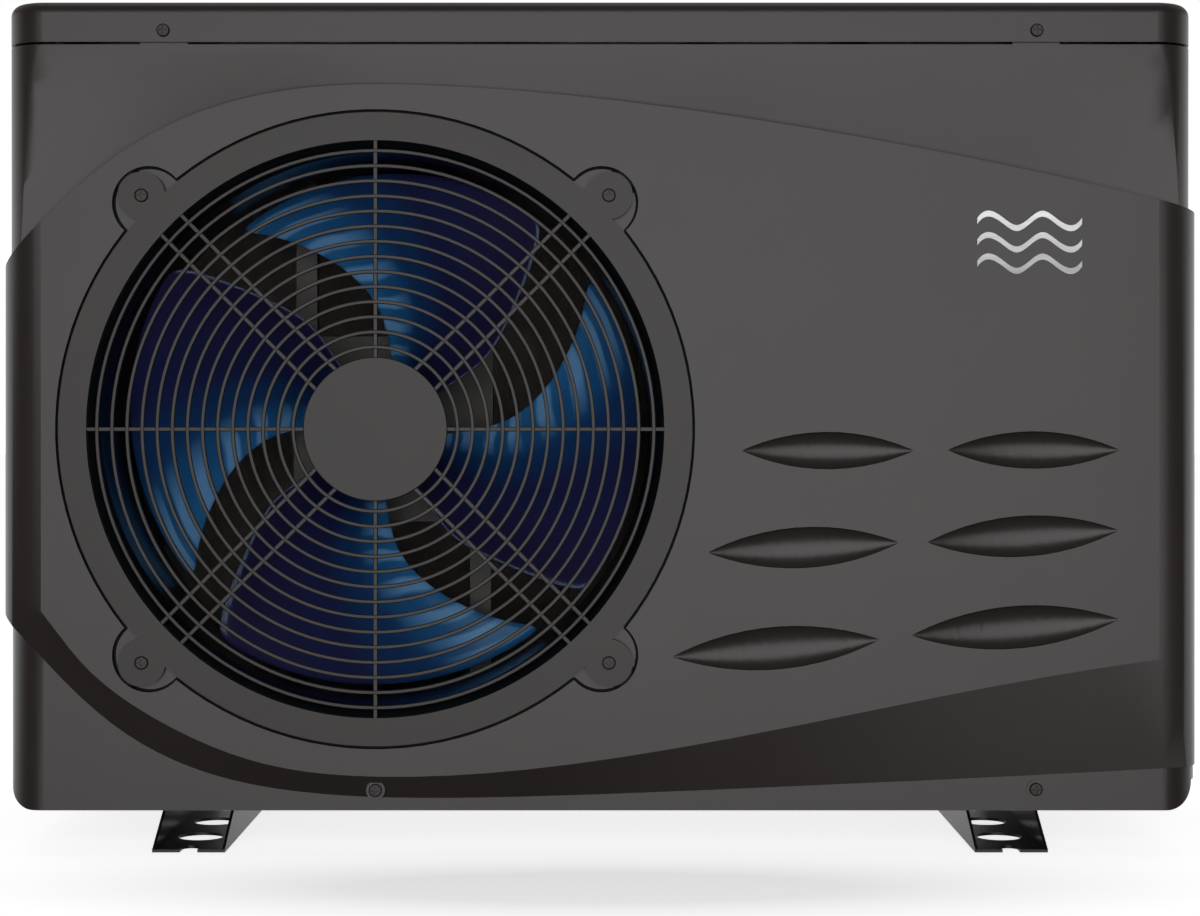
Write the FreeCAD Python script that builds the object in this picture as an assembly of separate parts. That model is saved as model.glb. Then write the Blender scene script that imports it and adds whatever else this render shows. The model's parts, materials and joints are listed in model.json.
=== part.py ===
# Pool heat pump unit: a moulded casing on two channel feet, a fan chamber with a finned evaporator on the
# left, and a compressor chamber with the water heat exchanger on the right.
# Millimetres. +X is the width, -Y is the front, +Z is up. The origin is on the ground, under the middle
# of the four outer round holes of the feet.
import FreeCAD
import Part
import math
import os

V = FreeCAD.Vector

# Casing
HALF_WIDTH = 503.0
BAND_PROUD = 5.0
FRONT_BAND = -210.0
FRONT_TOP = -205.0
FRONT_LOW = -200.0
REAR = 205.0
SIDE_SEAM_Y = -150.0
BASE_Z = 38.0
SEAM_Z = 684.5
TOP_Z = 721.0
CORNER_R = 33.0
LID_EDGE_R = 10.0
BOTTOM_R = 24.0
WALL = 3.0
GAP = 0.6
OVER = 20.0

# Upper edge of the raised band: x, z, and how deep the scooped field above it goes
BAND_TOP = [
    (-520, 484, 3), (-507, 498, 4), (-475, 530, 8), (-416, 583, 13), (-346, 623, 11), (-256, 646, 7),
    (-140, 649, 5), (85, 627, 9), (286, 593, 12), (466, 554, 9), (491, 548, 6), (520, 541, 3),
]
# Lower edge of the raised band, and the foot of the bevel under it: x, z
BAND_BOTTOM = [
    (-520, 261), (-507, 247), (-474, 212), (-436, 164), (-369, 114), (-279, 78), (-189, 68), (-5, 81),
    (196, 117), (376, 152), (479, 168), (520, 174),
]
BEVEL_FOOT = [
    (-520, 214), (-500, 197), (-461, 156), (-393, 98), (-326, 68), (-235, 52), (-95, 49), (131, 57),
    (288, 64), (520, 76),
]
SCOOP_ROWS = (-0.1, 0.0, 0.25, 0.5, 0.75, 1.0, 1.15)
SCOOP_POWER = 1.15

# Gill dimples: x, z, length, height, tilt in degrees
GILLS = [
    (191.5, 342.0, 145.5, 31.5, 0.0), (364.5, 342.5, 145.5, 31.5, 0.0),
    (171.0, 260.5, 162.0, 34.5, 3.0), (355.5, 270.0, 162.0, 34.5, 3.6),
    (148.0, 176.0, 176.0, 36.0, 4.8), (349.0, 193.5, 176.0, 36.0, 4.5),
]
GILL_DEPTH = 8.5

# Air slots of the left side: the columns' ends in y
LOUVRE_COLUMNS = ((-112.0, 16.0), (36.0, 164.0))
LOUVRE_FIRST_Z = 100.0
LOUVRE_PITCH = 16.0
LOUVRE_HEIGHT = 8.0
LOUVRE_COUNT = 32

# Rear guard, and the cooling slots of the rear panel
GUARD_RIM = 18.0
GUARD_BAR = 3.0
GUARD_PROUD = 3.5
GUARD_COLUMNS = 16
GUARD_ROWS = 28
SLOT_FIRST_Z = 520.0
SLOT_PITCH = 14.0
SLOT_HEIGHT = 6.0
SLOT_COUNT = 9
SLOT_MARGIN = 50.0

# Fan and grille
FAN_X = -189.0
FAN_Z = 360.0
POCKET_R = 269.0
POCKET_DEPTH = 6.0
EAR_R = 31.0
OPENING_R = 243.0
GRILLE_R = 266.5
LOBE_R = 20.0
LOBE_FILLET = 9.0
GRILLE_SCREW = 196.5
HUB_DISC_R = 60.6
RING_COUNT = 14
RING_FIRST_R = 69.1
RING_PITCH = 12.71
RING_WIDTH = 3.2
SPOKE_WIDTH = 3.8
PAIR_SPACING = 23.5
# Depths behind the band's front: front and back of the hub disc, the rings and the spokes
HUB_DISC_Y = (0.0, 5.0)
RING_Y = (1.0, 4.4)
SPOKE_Y = (1.6, 5.5)
GRILLE_SEAT = 1.5
SHROUD_R = 233.0
SHROUD_BACK = -52.0
SHROUD_FLANGE = 18.0
SHROUD_MOUTH = 24.0
SHROUD_T = 2.5
BLADES = 4
FAN_HUB_R = 50.0
FAN_HUB_FRONT = -165.0
FAN_HUB_BACK = -65.0
FAN_HUB_WALL = 4.0
FAN_HUB_FACE = 6.0
FAN_BOSS_R = 14.0
FAN_NUT_ACROSS = 19.0
FAN_NUT_T = 9.0
SHAFT_R = 6.0
SHAFT_STAND = 7.0
RUNNING = 0.05
# Blade sections: radius, angle of the trailing and of the leading edge, y of the same two edges
BLADE_SECTIONS = [
    (48.0, -58, -5, -160, -78), (62, -58, -3, -161, -78), (89, -58, 1.5, -163, -80),
    (114, -57, 5, -165, -82), (151, -49, 15.5, -167, -76), (189, -43.5, 27, -168, -65),
    (212, -40.5, 34, -168.5, -59), (226.5, -38, 38, -169, -55),
]
BLADE_STEPS = 8
BLADE_CAMBER = 7.0
BLADE_T = 4.5

# Motor
RAIL_Y = -30.0
RAIL_WIDTH = 19.0
RAIL_DEPTH = 14.0
RAIL_OFFSET = 79.5
PLATE_HALF_X = 91.0
PLATE_HALF_Z = 84.5
PLATE_T = 3.0
MOTOR_R = 64.0
MOTOR_BACK = 58.0
MOTOR_CAP = 14.0
MOTOR_RIBS = 24
RIB_T = 2.4
RIB_DEPTH = 6.0
RAIL_T = 1.5
RAIL_FOOT = 18.0
PLATE_BOLT_Z = 70.0
MOTOR_BOLT_AT = 38.0

# Feet
FOOT_X = 350.0
FOOT_WIDTH = 62.0
FOOT_HALF_LENGTH = 186.0
FOOT_T = 2.5
FOOT_SLANT_LOW = 47.0
FOOT_SLANT_TOP = 72.0
FOOT_HOLE_R = 20.0
FOOT_HOLE_PITCH = 80.0
NOTCH_WIDTH = 15.0
NOTCH_DEPTH = 20.0
LIP = 16.0
FOOT_KNEE_Z = 26.0
FOOT_BOLT_Y = 80.0
DRAIN = (-260.0, 60.0)
DRAIN_R = 11.0
DRAIN_BORE_R = 8.0
DRAIN_FLANGE_R = 18.0
DRAIN_END_Z = 12.0

# Base tray
TRAY_GAP = 0.3
TRAY_SHEET = 2.0
TRAY_RIM_Z = 78.0

# Bolts: width across the flats, head height, shank length
FOOT_BOLT = (10.0, 4.0, 12.0)
MOTOR_BOLT = (10.0, 4.5, 10.0)
COMPRESSOR_BOLT = (13.0, 6.0, 28.0)
FOOT_BOLT_HOLE_R = 3.2
COMPRESSOR_BOLT_HOLE_R = 4.2

# Evaporator
FIN_T = 1.5
FIN_PITCH = 12.0
FIN_DEPTH = 36.0
FIN_BOTTOM = 54.0
FIN_TOP = 612.0
COIL_REAR_Y = 150.0
COIL_LEFT_X = -484.0
COIL_RIGHT_X = 196.0
COIL_FRONT_Y = -118.0
TUBE_FRONT_Y = COIL_FRONT_Y - 8
TUBE_RIGHT_X = COIL_RIGHT_X + 6
TUBE_COUNT = 11
TUBE_PITCH = 50.0
TUBE_R = 4.8
TUBE_BEND = 40.0
TUBE_FIRST = 34.0
TUBE_WALL = 0.8
TUBE_HOLE_R = TUBE_R + 0.2
REAR_MID = COIL_REAR_Y + FIN_DEPTH / 2
LEFT_MID = COIL_LEFT_X + FIN_DEPTH / 2

# Compressor chamber
PARTITION_X = 212.0
PARTITION_FRONT = -186.0
COMPRESSOR = (300.0, -72.0)
COMPRESSOR_R = 62.0
COMPRESSOR_BOTTOM = 62.0
COMPRESSOR_TOP = 345.0
COMPRESSOR_ARMS = (30, 150, 270)
ARM_REACH = 78.0
ARM_HALF = 14.0
ARM_T = 3.0
MOUNT_NECK = 4.0
MOUNT_NECK_R = 6.9
ACCUMULATOR = (258.0, 32.0)
ACCUMULATOR_R = 30.0
ACCUMULATOR_Z = (110.0, 300.0)
STRAP_T = 2.0
ACCUMULATOR_STRAP_Z = (190.0, 215.0)
EXCHANGER_STRAP_Z = (250.0, 275.0)
EXCHANGER = (402.0, 84.0)
EXCHANGER_R = 80.0
EXCHANGER_BOTTOM = 74.0
EXCHANGER_TOP = 470.0
EXCHANGER_WALL = 6.0
EXCHANGER_CAP = 20.0
EXCHANGER_LEG_X = 46.0
COIL_TURN_R = 56.0
COIL_TUBE_R = 6.0
COIL_PITCH = 15.0
COIL_TURNS = 24
# Reversing valve: y, z; expansion valve: x, y; filter drier: x, y
REVERSING_VALVE = (12.0, 430.0)
EXPANSION_VALVE = (380.0, -16.0)
FILTER_DRIER = (236.0, 70.0)
PIPE_WALL = 1.0
PIPE_OUTER_R = 4.6
EBOX = (226.0, 484.0, -184.0, -62.0, 486.0, 668.0)
EBOX_SHEET = 1.5
BOARD_T = 1.6

# Water unions on the right side
UNION_Y = 84.0
UNION_Z = {"inlet": 130.0, "outlet": 400.0}
PIPE_R = 25.0
PIPE_BORE = 21.0
SOCKET_R = 25.15
UNION_THREAD_R = 34.0
NUT_R = 42.0
NUT_CLEAR = 0.4
NUT_RIBS = 16
TAIL_R = 29.5
SEAL_T = 2.0
UNION_END = 555.0

# Gauge and controller on the right side
GAUGE = (-62.0, 350.0)
GAUGE_R = 32.0
GAUGE_PIVOT_R = 1.5
NEEDLE_REACH = 23.0
NEEDLE_REST = 135.0
CONTROL_Y = -40.0
CONTROL_Z = 528.0
CONTROL_HALF_Y = 72.0
CONTROL_HALF_Z = 48.0
BUTTONS = ("power", "down", "up")
BUTTON_R = 6.0
BUTTON_STEP = 26.0
FLAP_PIN_R = 1.5
FLAP_PIN_X = 10.5
FLAP_PIN_DROP = 4.5
FLAP_HALF_Y = 58.0
SCREEN_HALF_Y = 42.0
SCREEN_Z = (-12.0, 30.0)
SCREEN_GAP = 0.3
GLANDS = [(-62.0, 190.0), (-62.0, 235.0)]
GLAND_BORE_R = 6.5

# Side grips
GRIP_Z = 640.0
GRIP_Y = 20.0
GRIP_HALF = (56.0, 15.0)
GRIP_DEPTH = 22.0
GRIP_FLANGE = 8.0
GRIP_T = 2.0

# Emblem: middle x and z, half length, rise and stroke of a wave, and the step between the waves
EMBLEM = (361.0, 517.0)
EMBLEM_HALF = 44.0
EMBLEM_RISE = 6.0
EMBLEM_STROKE = 5.0
EMBLEM_STEP = 18.0
EMBLEM_T = 0.6

# Screws
HEAD_R = 5.5
HEAD_H = 2.6
SHANK_R = 2.2
SHANK_LENGTH = 12.0
RECESS_WIDTH = 1.5
RECESS_ARM = 3.3
BOLT_SHANK_SHARE = 0.28
BOSS_R = 8.0
SCREW_LID_Z = 696.0
SCREW_LOW_Z = 56.0
FRONT_SCREW_X = (-368.0, 368.0)
LOW_SCREWS = [(-189.0, -207.0), (368.0, -201.0)]
SIDE_SCREW_Y = (-100.0, 140.0)
# Heights that the lid's screw tabs span
TAB_Z = (SEAM_Z - 10.0, SCREW_LID_Z + 8.0)
REAR_SCREW_X = (-400.0, 100.0, 250.0, 430.0)


# ---- basic shapes ----

def box(x0, x1, y0, y1, z0, z1):
    """Block between two corners."""
    return Part.makeBox(x1 - x0, y1 - y0, z1 - z0, V(x0, y0, z0))


def rod(x, y, z, radius, length, axis):
    """Cylinder from a point, along an axis."""
    return Part.makeCylinder(radius, length, V(x, y, z), V(*axis))


def along_y(x, z, radius, y0, y1):
    """Cylinder along Y."""
    return rod(x, y0, z, radius, y1 - y0, (0, 1, 0))


def along_x(y, z, radius, x0, x1):
    """Cylinder along X."""
    return rod(x0, y, z, radius, x1 - x0, (1, 0, 0))


def along_z(x, y, radius, z0, z1):
    """Cylinder along Z."""
    return rod(x, y, z0, radius, z1 - z0, (0, 0, 1))


def fuse(shapes):
    """One solid from several that touch."""
    return shapes[0].multiFuse(shapes[1:]).removeSplitter()


def group(shapes):
    """Separate solids kept together in one node."""
    return Part.makeCompound(shapes)


def polygon_prism(points, vector):
    """Flat outline through points, extruded along a vector."""
    wire = Part.makePolygon([V(*p) for p in points] + [V(*points[0])])
    return Part.Face(wire).extrude(V(*vector))


def upright_edges(shape, wanted):
    """Straight edges along Z whose middle satisfies a condition."""
    tiny = 1e-3
    edges = [e for e in shape.Edges if e.BoundBox.XLength < tiny and e.BoundBox.YLength < tiny]
    return [e for e in edges if wanted(e.CenterOfMass)]


def front_rounded(half_x, front, back, bottom, top, radius, wider=0.0):
    """Block whose two front corners are rounded in plan; wider is what its right side has in addition."""
    block = box(-half_x, half_x + wider, front, back, bottom, top)
    return block.makeFillet(radius, upright_edges(block, lambda c: c.y < front + 1))


def all_rounded(half_x, front, back, bottom, top, radius):
    """Block whose four upright corners are rounded in plan."""
    block = box(-half_x, half_x, front, back, bottom, top)
    return block.makeFillet(radius, upright_edges(block, lambda c: True))


def spline_edge(points, y):
    """Smooth edge through x, z points, in the plane of a given y."""
    curve = Part.BSplineCurve()
    curve.interpolate([V(p[0], y, p[1]) for p in points])
    return curve.toShape()


def field_wire(points, y, level):
    """Closed outline between a smooth edge and a level line."""
    edge = spline_edge(points, y)
    first = V(points[0][0], y, points[0][1])
    last = V(points[-1][0], y, points[-1][1])
    first_corner = V(first.x, y, level)
    last_corner = V(last.x, y, level)
    sides = [(last, last_corner), (last_corner, first_corner), (first_corner, first)]
    return Part.Wire([edge] + [Part.makeLine(a, b) for a, b in sides])


def bent_tube(points, radius, bore, bend):
    """Tube along straight runs that are joined by tangent arcs."""
    corners = [V(*p) for p in points]
    edges = []
    start = corners[0]
    for before, corner, after in zip(corners, corners[1:], corners[2:]):
        back = (before - corner).normalize()
        onward = (after - corner).normalize()
        half = back.getAngle(onward) / 2
        reach = bend / math.tan(half)
        enter = corner + back * reach
        leave = corner + onward * reach
        middle_way = (back + onward).normalize()
        middle = corner + middle_way * (bend / math.sin(half) - bend)
        edges.append(Part.makeLine(start, enter))
        edges.append(Part.Arc(enter, middle, leave).toShape())
        start = leave
    edges.append(Part.makeLine(start, corners[-1]))
    path = Part.Wire(edges)
    outer = swept_disc(path, corners[0], corners[1], radius)
    return outer.cut(swept_disc(path, corners[0], corners[1], bore)) if bore else outer


def swept_disc(path, start, towards, radius):
    """Solid swept by a disc along a path."""
    circle = Part.Wire(Part.makeCircle(radius, start, towards - start))
    return path.makePipeShell([circle], True, True)


# ---- front panel ----

def moved_points(points, dx, dz):
    """Outline points moved in x and z."""
    return [(p[0] + dx, p[1] + dz) for p in points]


def scoop_cutter(inset):
    """What lies in front of the scooped field above the raised band."""
    rows = []
    for v in SCOOP_ROWS:
        push = max(v, 0.0) ** SCOOP_POWER
        rows.append([V(x, FRONT_TOP + inset + depth * push, SEAM_Z + (z - SEAM_Z) * v)
                     for x, z, depth in BAND_TOP])
    surface = Part.BSplineSurface()
    surface.interpolate(rows)
    return surface.toShape().extrude(V(0, -3 * OVER, 0))


def above_band(inset):
    """What is taken from the raised block above the band, by how far the surface is inset."""
    edge = moved_points(BAND_TOP, inset, -inset)
    field = Part.Face(field_wire(edge, FRONT_BAND - OVER, SEAM_Z + 2 * OVER))
    field = field.extrude(V(0, SIDE_SEAM_Y - FRONT_BAND + 2 * OVER, 0))
    upper = front_rounded(HALF_WIDTH - inset, FRONT_TOP + inset, SIDE_SEAM_Y + 2 * OVER,
                          BASE_Z - OVER, SEAM_Z + 3 * OVER, CORNER_R - inset)
    return field.cut(upper.cut(scoop_cutter(inset)))


def below_band(inset):
    """What is taken from the raised block below the band and along its bevel."""
    edge = moved_points(BAND_BOTTOM, inset, inset)
    foot = moved_points(BEVEL_FOOT, inset, inset)
    level = BASE_Z - 2 * OVER
    bevel = Part.makeLoft([field_wire(edge, FRONT_BAND + inset, level),
                           field_wire(foot, FRONT_LOW + inset, level)], True, True)
    front = Part.Face(field_wire(edge, FRONT_BAND + inset, level)).extrude(V(0, -OVER, 0))
    depth = SIDE_SEAM_Y - FRONT_LOW + OVER
    back = Part.Face(field_wire(foot, FRONT_LOW + inset, level)).extrude(V(0, depth, 0))
    lower = front_rounded(HALF_WIDTH - inset, FRONT_LOW + inset, SIDE_SEAM_Y + 3 * OVER,
                          level - OVER, SEAM_Z, CORNER_R - inset, BAND_PROUD)
    return bevel.fuse(front).fuse(back).cut(lower)


def bottom_corners(inset):
    """What is taken from the casing to round its two lower long edges."""
    middle_x = HALF_WIDTH - BOTTOM_R
    middle_z = BASE_Z + BOTTOM_R
    corners = []
    for side in (-1, 1):
        span = sorted((side * middle_x, side * (HALF_WIDTH + 2 * OVER)))
        corner = box(*span, FRONT_BAND - OVER, REAR + OVER, BASE_Z - 3 * OVER, middle_z)
        curve = along_y(side * middle_x, middle_z, BOTTOM_R - inset, FRONT_BAND - 2 * OVER, REAR + 2 * OVER)
        corners.append(corner.cut(curve))
    return group(corners)


def panel_block(inset, bottom, top, back):
    """Full body of the front panel, with its faces inset by a distance."""
    block = front_rounded(HALF_WIDTH + BAND_PROUD - inset, FRONT_BAND + inset, back, bottom, top,
                          CORNER_R + BAND_PROUD - inset)
    return block.cut(above_band(inset)).cut(below_band(inset)).cut(bottom_corners(inset))


def gill(x, z, length, height, tilt, grow):
    """Lens-shaped body of one gill dimple."""
    half = length / 2 + grow
    rise = height / 2 + grow
    arc = Part.Arc(V(-half, 0, 0), V(0, 0, rise), V(half, 0, 0)).toShape()
    chord = Part.makeLine(V(half, 0, 0), V(-half, 0, 0))
    lens = Part.Face(Part.Wire([arc, chord])).revolve(V(0, 0, 0), V(1, 0, 0), 360)
    flatten = FreeCAD.Matrix()
    flatten.scale(1, (GILL_DEPTH + grow) / rise, 1)
    lens = lens.transformGeometry(flatten)
    lens.rotate(V(0, 0, 0), V(0, 1, 0), -tilt)
    lens.translate(V(x, FRONT_BAND - 0.2, z))
    return lens


def round_with_ears(radius, ear_radius, ear_at, y0, y1):
    """Disc with four smaller discs on its diagonals, extruded along Y."""
    discs = [along_y(FAN_X, FAN_Z, radius, y0, y1)]
    for sx in (-1, 1):
        for sz in (-1, 1):
            discs.append(along_y(FAN_X + sx * ear_at, FAN_Z + sz * ear_at, ear_radius, y0, y1))
    return fuse(discs)


def front_screw_points():
    """Places of the screws in the front: x, y of the seat, z."""
    points = [(x, FRONT_TOP, SCREW_LID_Z) for x in FRONT_SCREW_X]
    points += [(x, seat, SCREW_LOW_Z) for x, seat in LOW_SCREWS]
    return points


def front_panel():
    """Moulded front with the raised band, the scooped field, the gills and the pocket for the grille."""
    ear_at = POCKET_R * math.sin(math.radians(45))
    floor_y = FRONT_BAND + POCKET_DEPTH
    solid = panel_block(0, BASE_Z, SEAM_Z - GAP / 2, SIDE_SEAM_Y - GAP / 2)
    hollow = panel_block(WALL, BASE_Z - OVER, SEAM_Z + OVER, SIDE_SEAM_Y + OVER)
    backing = round_with_ears(POCKET_R + WALL, EAR_R + WALL, ear_at, FRONT_BAND, floor_y + WALL)
    hollow = hollow.cut(backing)
    for x, z, length, height, tilt in GILLS:
        hollow = hollow.cut(gill(x, z, length, height, tilt, WALL))
    panel = solid.cut(hollow)
    panel = panel.cut(round_with_ears(POCKET_R, EAR_R, ear_at, FRONT_BAND - OVER, floor_y))
    panel = panel.cut(along_y(FAN_X, FAN_Z, OPENING_R, FRONT_BAND - OVER, FRONT_LOW + OVER))
    panel = panel.cut(group([gill(*g, 0) for g in GILLS]))
    posts = [along_y(x, z, BOSS_R, seat, FRONT_LOW + WALL) for x, seat, z in front_screw_points()[2:]]
    tabs = [box(x - OVER, x + OVER, FRONT_TOP + WALL, FRONT_TOP + 2 * WALL, *TAB_Z) for x in FRONT_SCREW_X]
    panel = fuse([panel] + posts + tabs)
    holes = [along_y(x, z, SHANK_R + 0.1, FRONT_BAND - OVER, FRONT_LOW + OVER)
             for x, _, z in front_screw_points()]
    holes += [along_y(FAN_X + sx * GRILLE_SCREW, FAN_Z + sz * GRILLE_SCREW, SHANK_R + 0.1,
                      FRONT_BAND - OVER, FRONT_LOW + OVER) for sx in (-1, 1) for sz in (-1, 1)]
    return panel.cut(group(holes))


# ---- lid, sides and rear ----

def top_cover():
    """Lid with a rounded rim and a skirt that goes down to the seam."""
    bottom = SEAM_Z + GAP / 2
    lid = all_rounded(HALF_WIDTH, FRONT_TOP, REAR, bottom, TOP_Z, CORNER_R)
    rim = [e for e in lid.Edges if abs(e.BoundBox.ZMin - TOP_Z) < 0.01 and e.BoundBox.ZLength < 0.01]
    lid = lid.makeFillet(LID_EDGE_R, rim)
    inner = all_rounded(HALF_WIDTH - WALL, FRONT_TOP + WALL, REAR - WALL, bottom - OVER, TOP_Z - WALL,
                        CORNER_R - WALL)
    edges = [e for e in inner.Edges if abs(e.BoundBox.ZMin - TOP_Z + WALL) < 0.01]
    inner = inner.makeFillet(LID_EDGE_R - WALL, edges)
    return lid.cut(inner).cut(group(screw_holes()))


def rear_shell():
    """Ring of wall behind the front panel, closed round the two rear corners."""
    bottom = BASE_Z
    top = SEAM_Z - GAP / 2
    front = SIDE_SEAM_Y + GAP / 2
    outer = box(-HALF_WIDTH, HALF_WIDTH, front, REAR, bottom, top)
    outer = outer.makeFillet(CORNER_R, upright_edges(outer, lambda c: c.y > 0))
    inner = box(-HALF_WIDTH + WALL, HALF_WIDTH - WALL, front - OVER, REAR - WALL, bottom - OVER, top + OVER)
    inner = inner.makeFillet(CORNER_R - WALL, upright_edges(inner, lambda c: c.y > 0))
    return outer.cut(bottom_corners(0)).cut(inner.cut(bottom_corners(WALL)))


def side_panel(side, cutters):
    """Side wall that wraps its rear corner; side is -1 on the left and 1 on the right."""
    reach = HALF_WIDTH - CORNER_R - GAP / 2
    edges = sorted((side * reach, side * (HALF_WIDTH + OVER)))
    part = rear_shell().common(box(*edges, SIDE_SEAM_Y - OVER, REAR + OVER, 0, SEAM_Z + OVER))
    inner = HALF_WIDTH - 2 * WALL
    tabs = []
    for y in SIDE_SCREW_Y:
        span = sorted((side * inner, side * (HALF_WIDTH - WALL)))
        tabs.append(box(*span, y - OVER, y + OVER, *TAB_Z))
    return fuse([part] + tabs).cut(group(cutters + screw_holes()))


def grip_hole(side):
    """Opening for a side grip."""
    span = sorted((side * (HALF_WIDTH - OVER), side * (HALF_WIDTH + OVER)))
    half_y, half_z = GRIP_HALF
    return box(*span, GRIP_Y - half_y, GRIP_Y + half_y, GRIP_Z - half_z, GRIP_Z + half_z)


def louvre_slots():
    """Air slots of the left side, in two columns."""
    slots = []
    for y0, y1 in LOUVRE_COLUMNS:
        for i in range(LOUVRE_COUNT):
            z = LOUVRE_FIRST_Z + i * LOUVRE_PITCH
            slots.append(box(-HALF_WIDTH - OVER, -HALF_WIDTH + OVER, y0, y1, z, z + LOUVRE_HEIGHT))
    return slots


def left_side_panel():
    """Left wall with the air slots and the grip opening."""
    return side_panel(-1, louvre_slots() + [grip_hole(-1)])


def right_side_panel():
    """Right wall with holes for the unions, glands, gauge and controller."""
    x0 = HALF_WIDTH - OVER
    x1 = HALF_WIDTH + OVER
    cutters = [grip_hole(1)]
    cutters += [along_x(UNION_Y, z, UNION_THREAD_R + 0.5, x0, x1) for z in UNION_Z.values()]
    cutters += [along_x(y, z, 10.3, x0, x1) for y, z in GLANDS]
    cutters.append(along_x(*GAUGE, 6.5, x0, x1))
    cutters.append(box(x0, x1, CONTROL_Y - 58, CONTROL_Y + 58, CONTROL_Z - 34, CONTROL_Z + 34))
    return side_panel(1, cutters)


def rear_tabs(xs):
    """Tabs that the lid's rear screws go into."""
    return [box(x - OVER, x + OVER, REAR - 2 * WALL, REAR - WALL, *TAB_Z) for x in xs]


def rear_guard():
    """Moulded grid over the back of the evaporator."""
    x0 = -HALF_WIDTH + CORNER_R + GAP / 2
    x1 = PARTITION_X
    z0 = BASE_Z
    z1 = SEAM_Z - GAP / 2
    rim = GUARD_RIM
    half = GUARD_BAR / 2
    frame = box(x0, x1, REAR - WALL, REAR, z0, z1)
    frame = frame.cut(box(x0 + rim, x1 - rim, REAR - OVER, REAR + OVER, z0 + 2 * rim, z1 - 3 * rim))
    bars = [frame]
    for i in range(1, GUARD_COLUMNS):
        x = x0 + rim + (x1 - x0 - 2 * rim) * i / GUARD_COLUMNS
        bars.append(box(x - half, x + half, REAR - WALL, REAR + GUARD_PROUD - 1.5, z0 + rim, z1 - 2 * rim))
    for i in range(1, GUARD_ROWS):
        z = z0 + 2 * rim + (z1 - z0 - 5 * rim) * i / GUARD_ROWS
        bars.append(box(x0 + rim / 2, x1 - rim / 2, REAR - 0.5, REAR + GUARD_PROUD, z - half, z + half))
    return fuse(bars + rear_tabs(REAR_SCREW_X[:2])).cut(group(screw_holes()))


def rear_panel():
    """Rear wall of the compressor chamber, with cooling slots."""
    x0 = PARTITION_X + GAP
    x1 = HALF_WIDTH - CORNER_R - GAP / 2
    wall = box(x0, x1, REAR - WALL, REAR, BASE_Z, SEAM_Z - GAP / 2)
    slots = []
    for i in range(SLOT_COUNT):
        z = SLOT_FIRST_Z + i * SLOT_PITCH
        slots.append(box(x0 + SLOT_MARGIN, x1 - SLOT_MARGIN, REAR - OVER, REAR + OVER, z, z + SLOT_HEIGHT))
    return fuse([wall] + rear_tabs(REAR_SCREW_X[2:])).cut(group(slots + screw_holes()))


def side_grips():
    """Cups let into the two side walls to carry the unit by."""
    half_y, half_z = GRIP_HALF
    rim = GRIP_FLANGE
    cups = []
    for side in (-1, 1):
        outer = HALF_WIDTH
        flange = box(*sorted((side * outer, side * (outer + GRIP_T))), GRIP_Y - half_y - rim,
                     GRIP_Y + half_y + rim, GRIP_Z - half_z - rim, GRIP_Z + half_z + rim)
        cup = box(*sorted((side * (outer - GRIP_DEPTH), side * outer)), GRIP_Y - half_y + 0.2,
                  GRIP_Y + half_y - 0.2, GRIP_Z - half_z + 0.2, GRIP_Z + half_z - 0.2)
        room = box(*sorted((side * (outer - GRIP_DEPTH + GRIP_T), side * (outer + OVER))),
                   GRIP_Y - half_y + GRIP_T, GRIP_Y + half_y - GRIP_T,
                   GRIP_Z - half_z + GRIP_T, GRIP_Z + half_z - GRIP_T)
        cups.append(fuse([flange, cup]).cut(room))
    return group(cups)


# ---- fasteners ----

def screw(seat, outward):
    """Pan-head screw with a cross recess; outward points from the seat to the head."""
    way = V(*outward)
    at = V(*seat)
    head = Part.makeCylinder(HEAD_R, HEAD_H, at, way)
    head = head.makeFillet(1.2, [e for e in head.Edges if (e.CenterOfMass - at).dot(way) > HEAD_H - 0.1])
    shank = Part.makeCylinder(SHANK_R, SHANK_LENGTH, at - way * (SHANK_LENGTH - 0.5), way)
    body = head.fuse(shank)
    size = RECESS_WIDTH
    across = way.cross(V(0, 0, 1)) if abs(way.z) < 0.5 else V(1, 0, 0)
    upward = way.cross(across)
    for arm in (across, upward):
        slot = Part.makeBox(2 * RECESS_ARM, size, HEAD_H)
        slot.translate(V(-RECESS_ARM, -size / 2, 0))
        place = FreeCAD.Placement(at + way * (HEAD_H - size), frame_rotation(arm, way))
        slot.Placement = place * slot.Placement
        body = body.cut(slot)
    return body


def frame_rotation(x_way, z_way):
    """Rotation that takes X to one direction and Z to another."""
    return FreeCAD.Rotation(x_way, z_way.cross(x_way), z_way, "XZY")


def casing_screws():
    """Seats and directions of the casing's screws."""
    places = [((x, y, z), (0, -1, 0)) for x, y, z in front_screw_points()]
    for side in (-1, 1):
        for y in SIDE_SCREW_Y:
            places.append(((side * HALF_WIDTH, y, SCREW_LID_Z), (side, 0, 0)))
            places.append(((side * HALF_WIDTH, y, SCREW_LOW_Z), (side, 0, 0)))
    for x in REAR_SCREW_X:
        places.append(((x, REAR, SCREW_LID_Z), (0, 1, 0)))
        places.append(((x, REAR, SCREW_LOW_Z), (0, 1, 0)))
    return places


def screw_holes():
    """Clearance holes for the casing's screws."""
    holes = []
    for seat, outward in casing_screws():
        way = V(*outward)
        holes.append(Part.makeCylinder(SHANK_R + 0.1, 2 * OVER, V(*seat) - way * OVER, way))
    return holes


def grille_screw_places():
    """Seats and directions of the four screws in the grille's lobes."""
    return [((FAN_X + sx * GRILLE_SCREW, FRONT_BAND + GRILLE_SEAT, FAN_Z + sz * GRILLE_SCREW), (0, -1, 0))
            for sx in (-1, 1) for sz in (-1, 1)]


def cross_screws():
    """Screws of the lid, the panels, the tray and the grille."""
    return group([screw(*place) for place in casing_screws() + grille_screw_places()])


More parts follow.
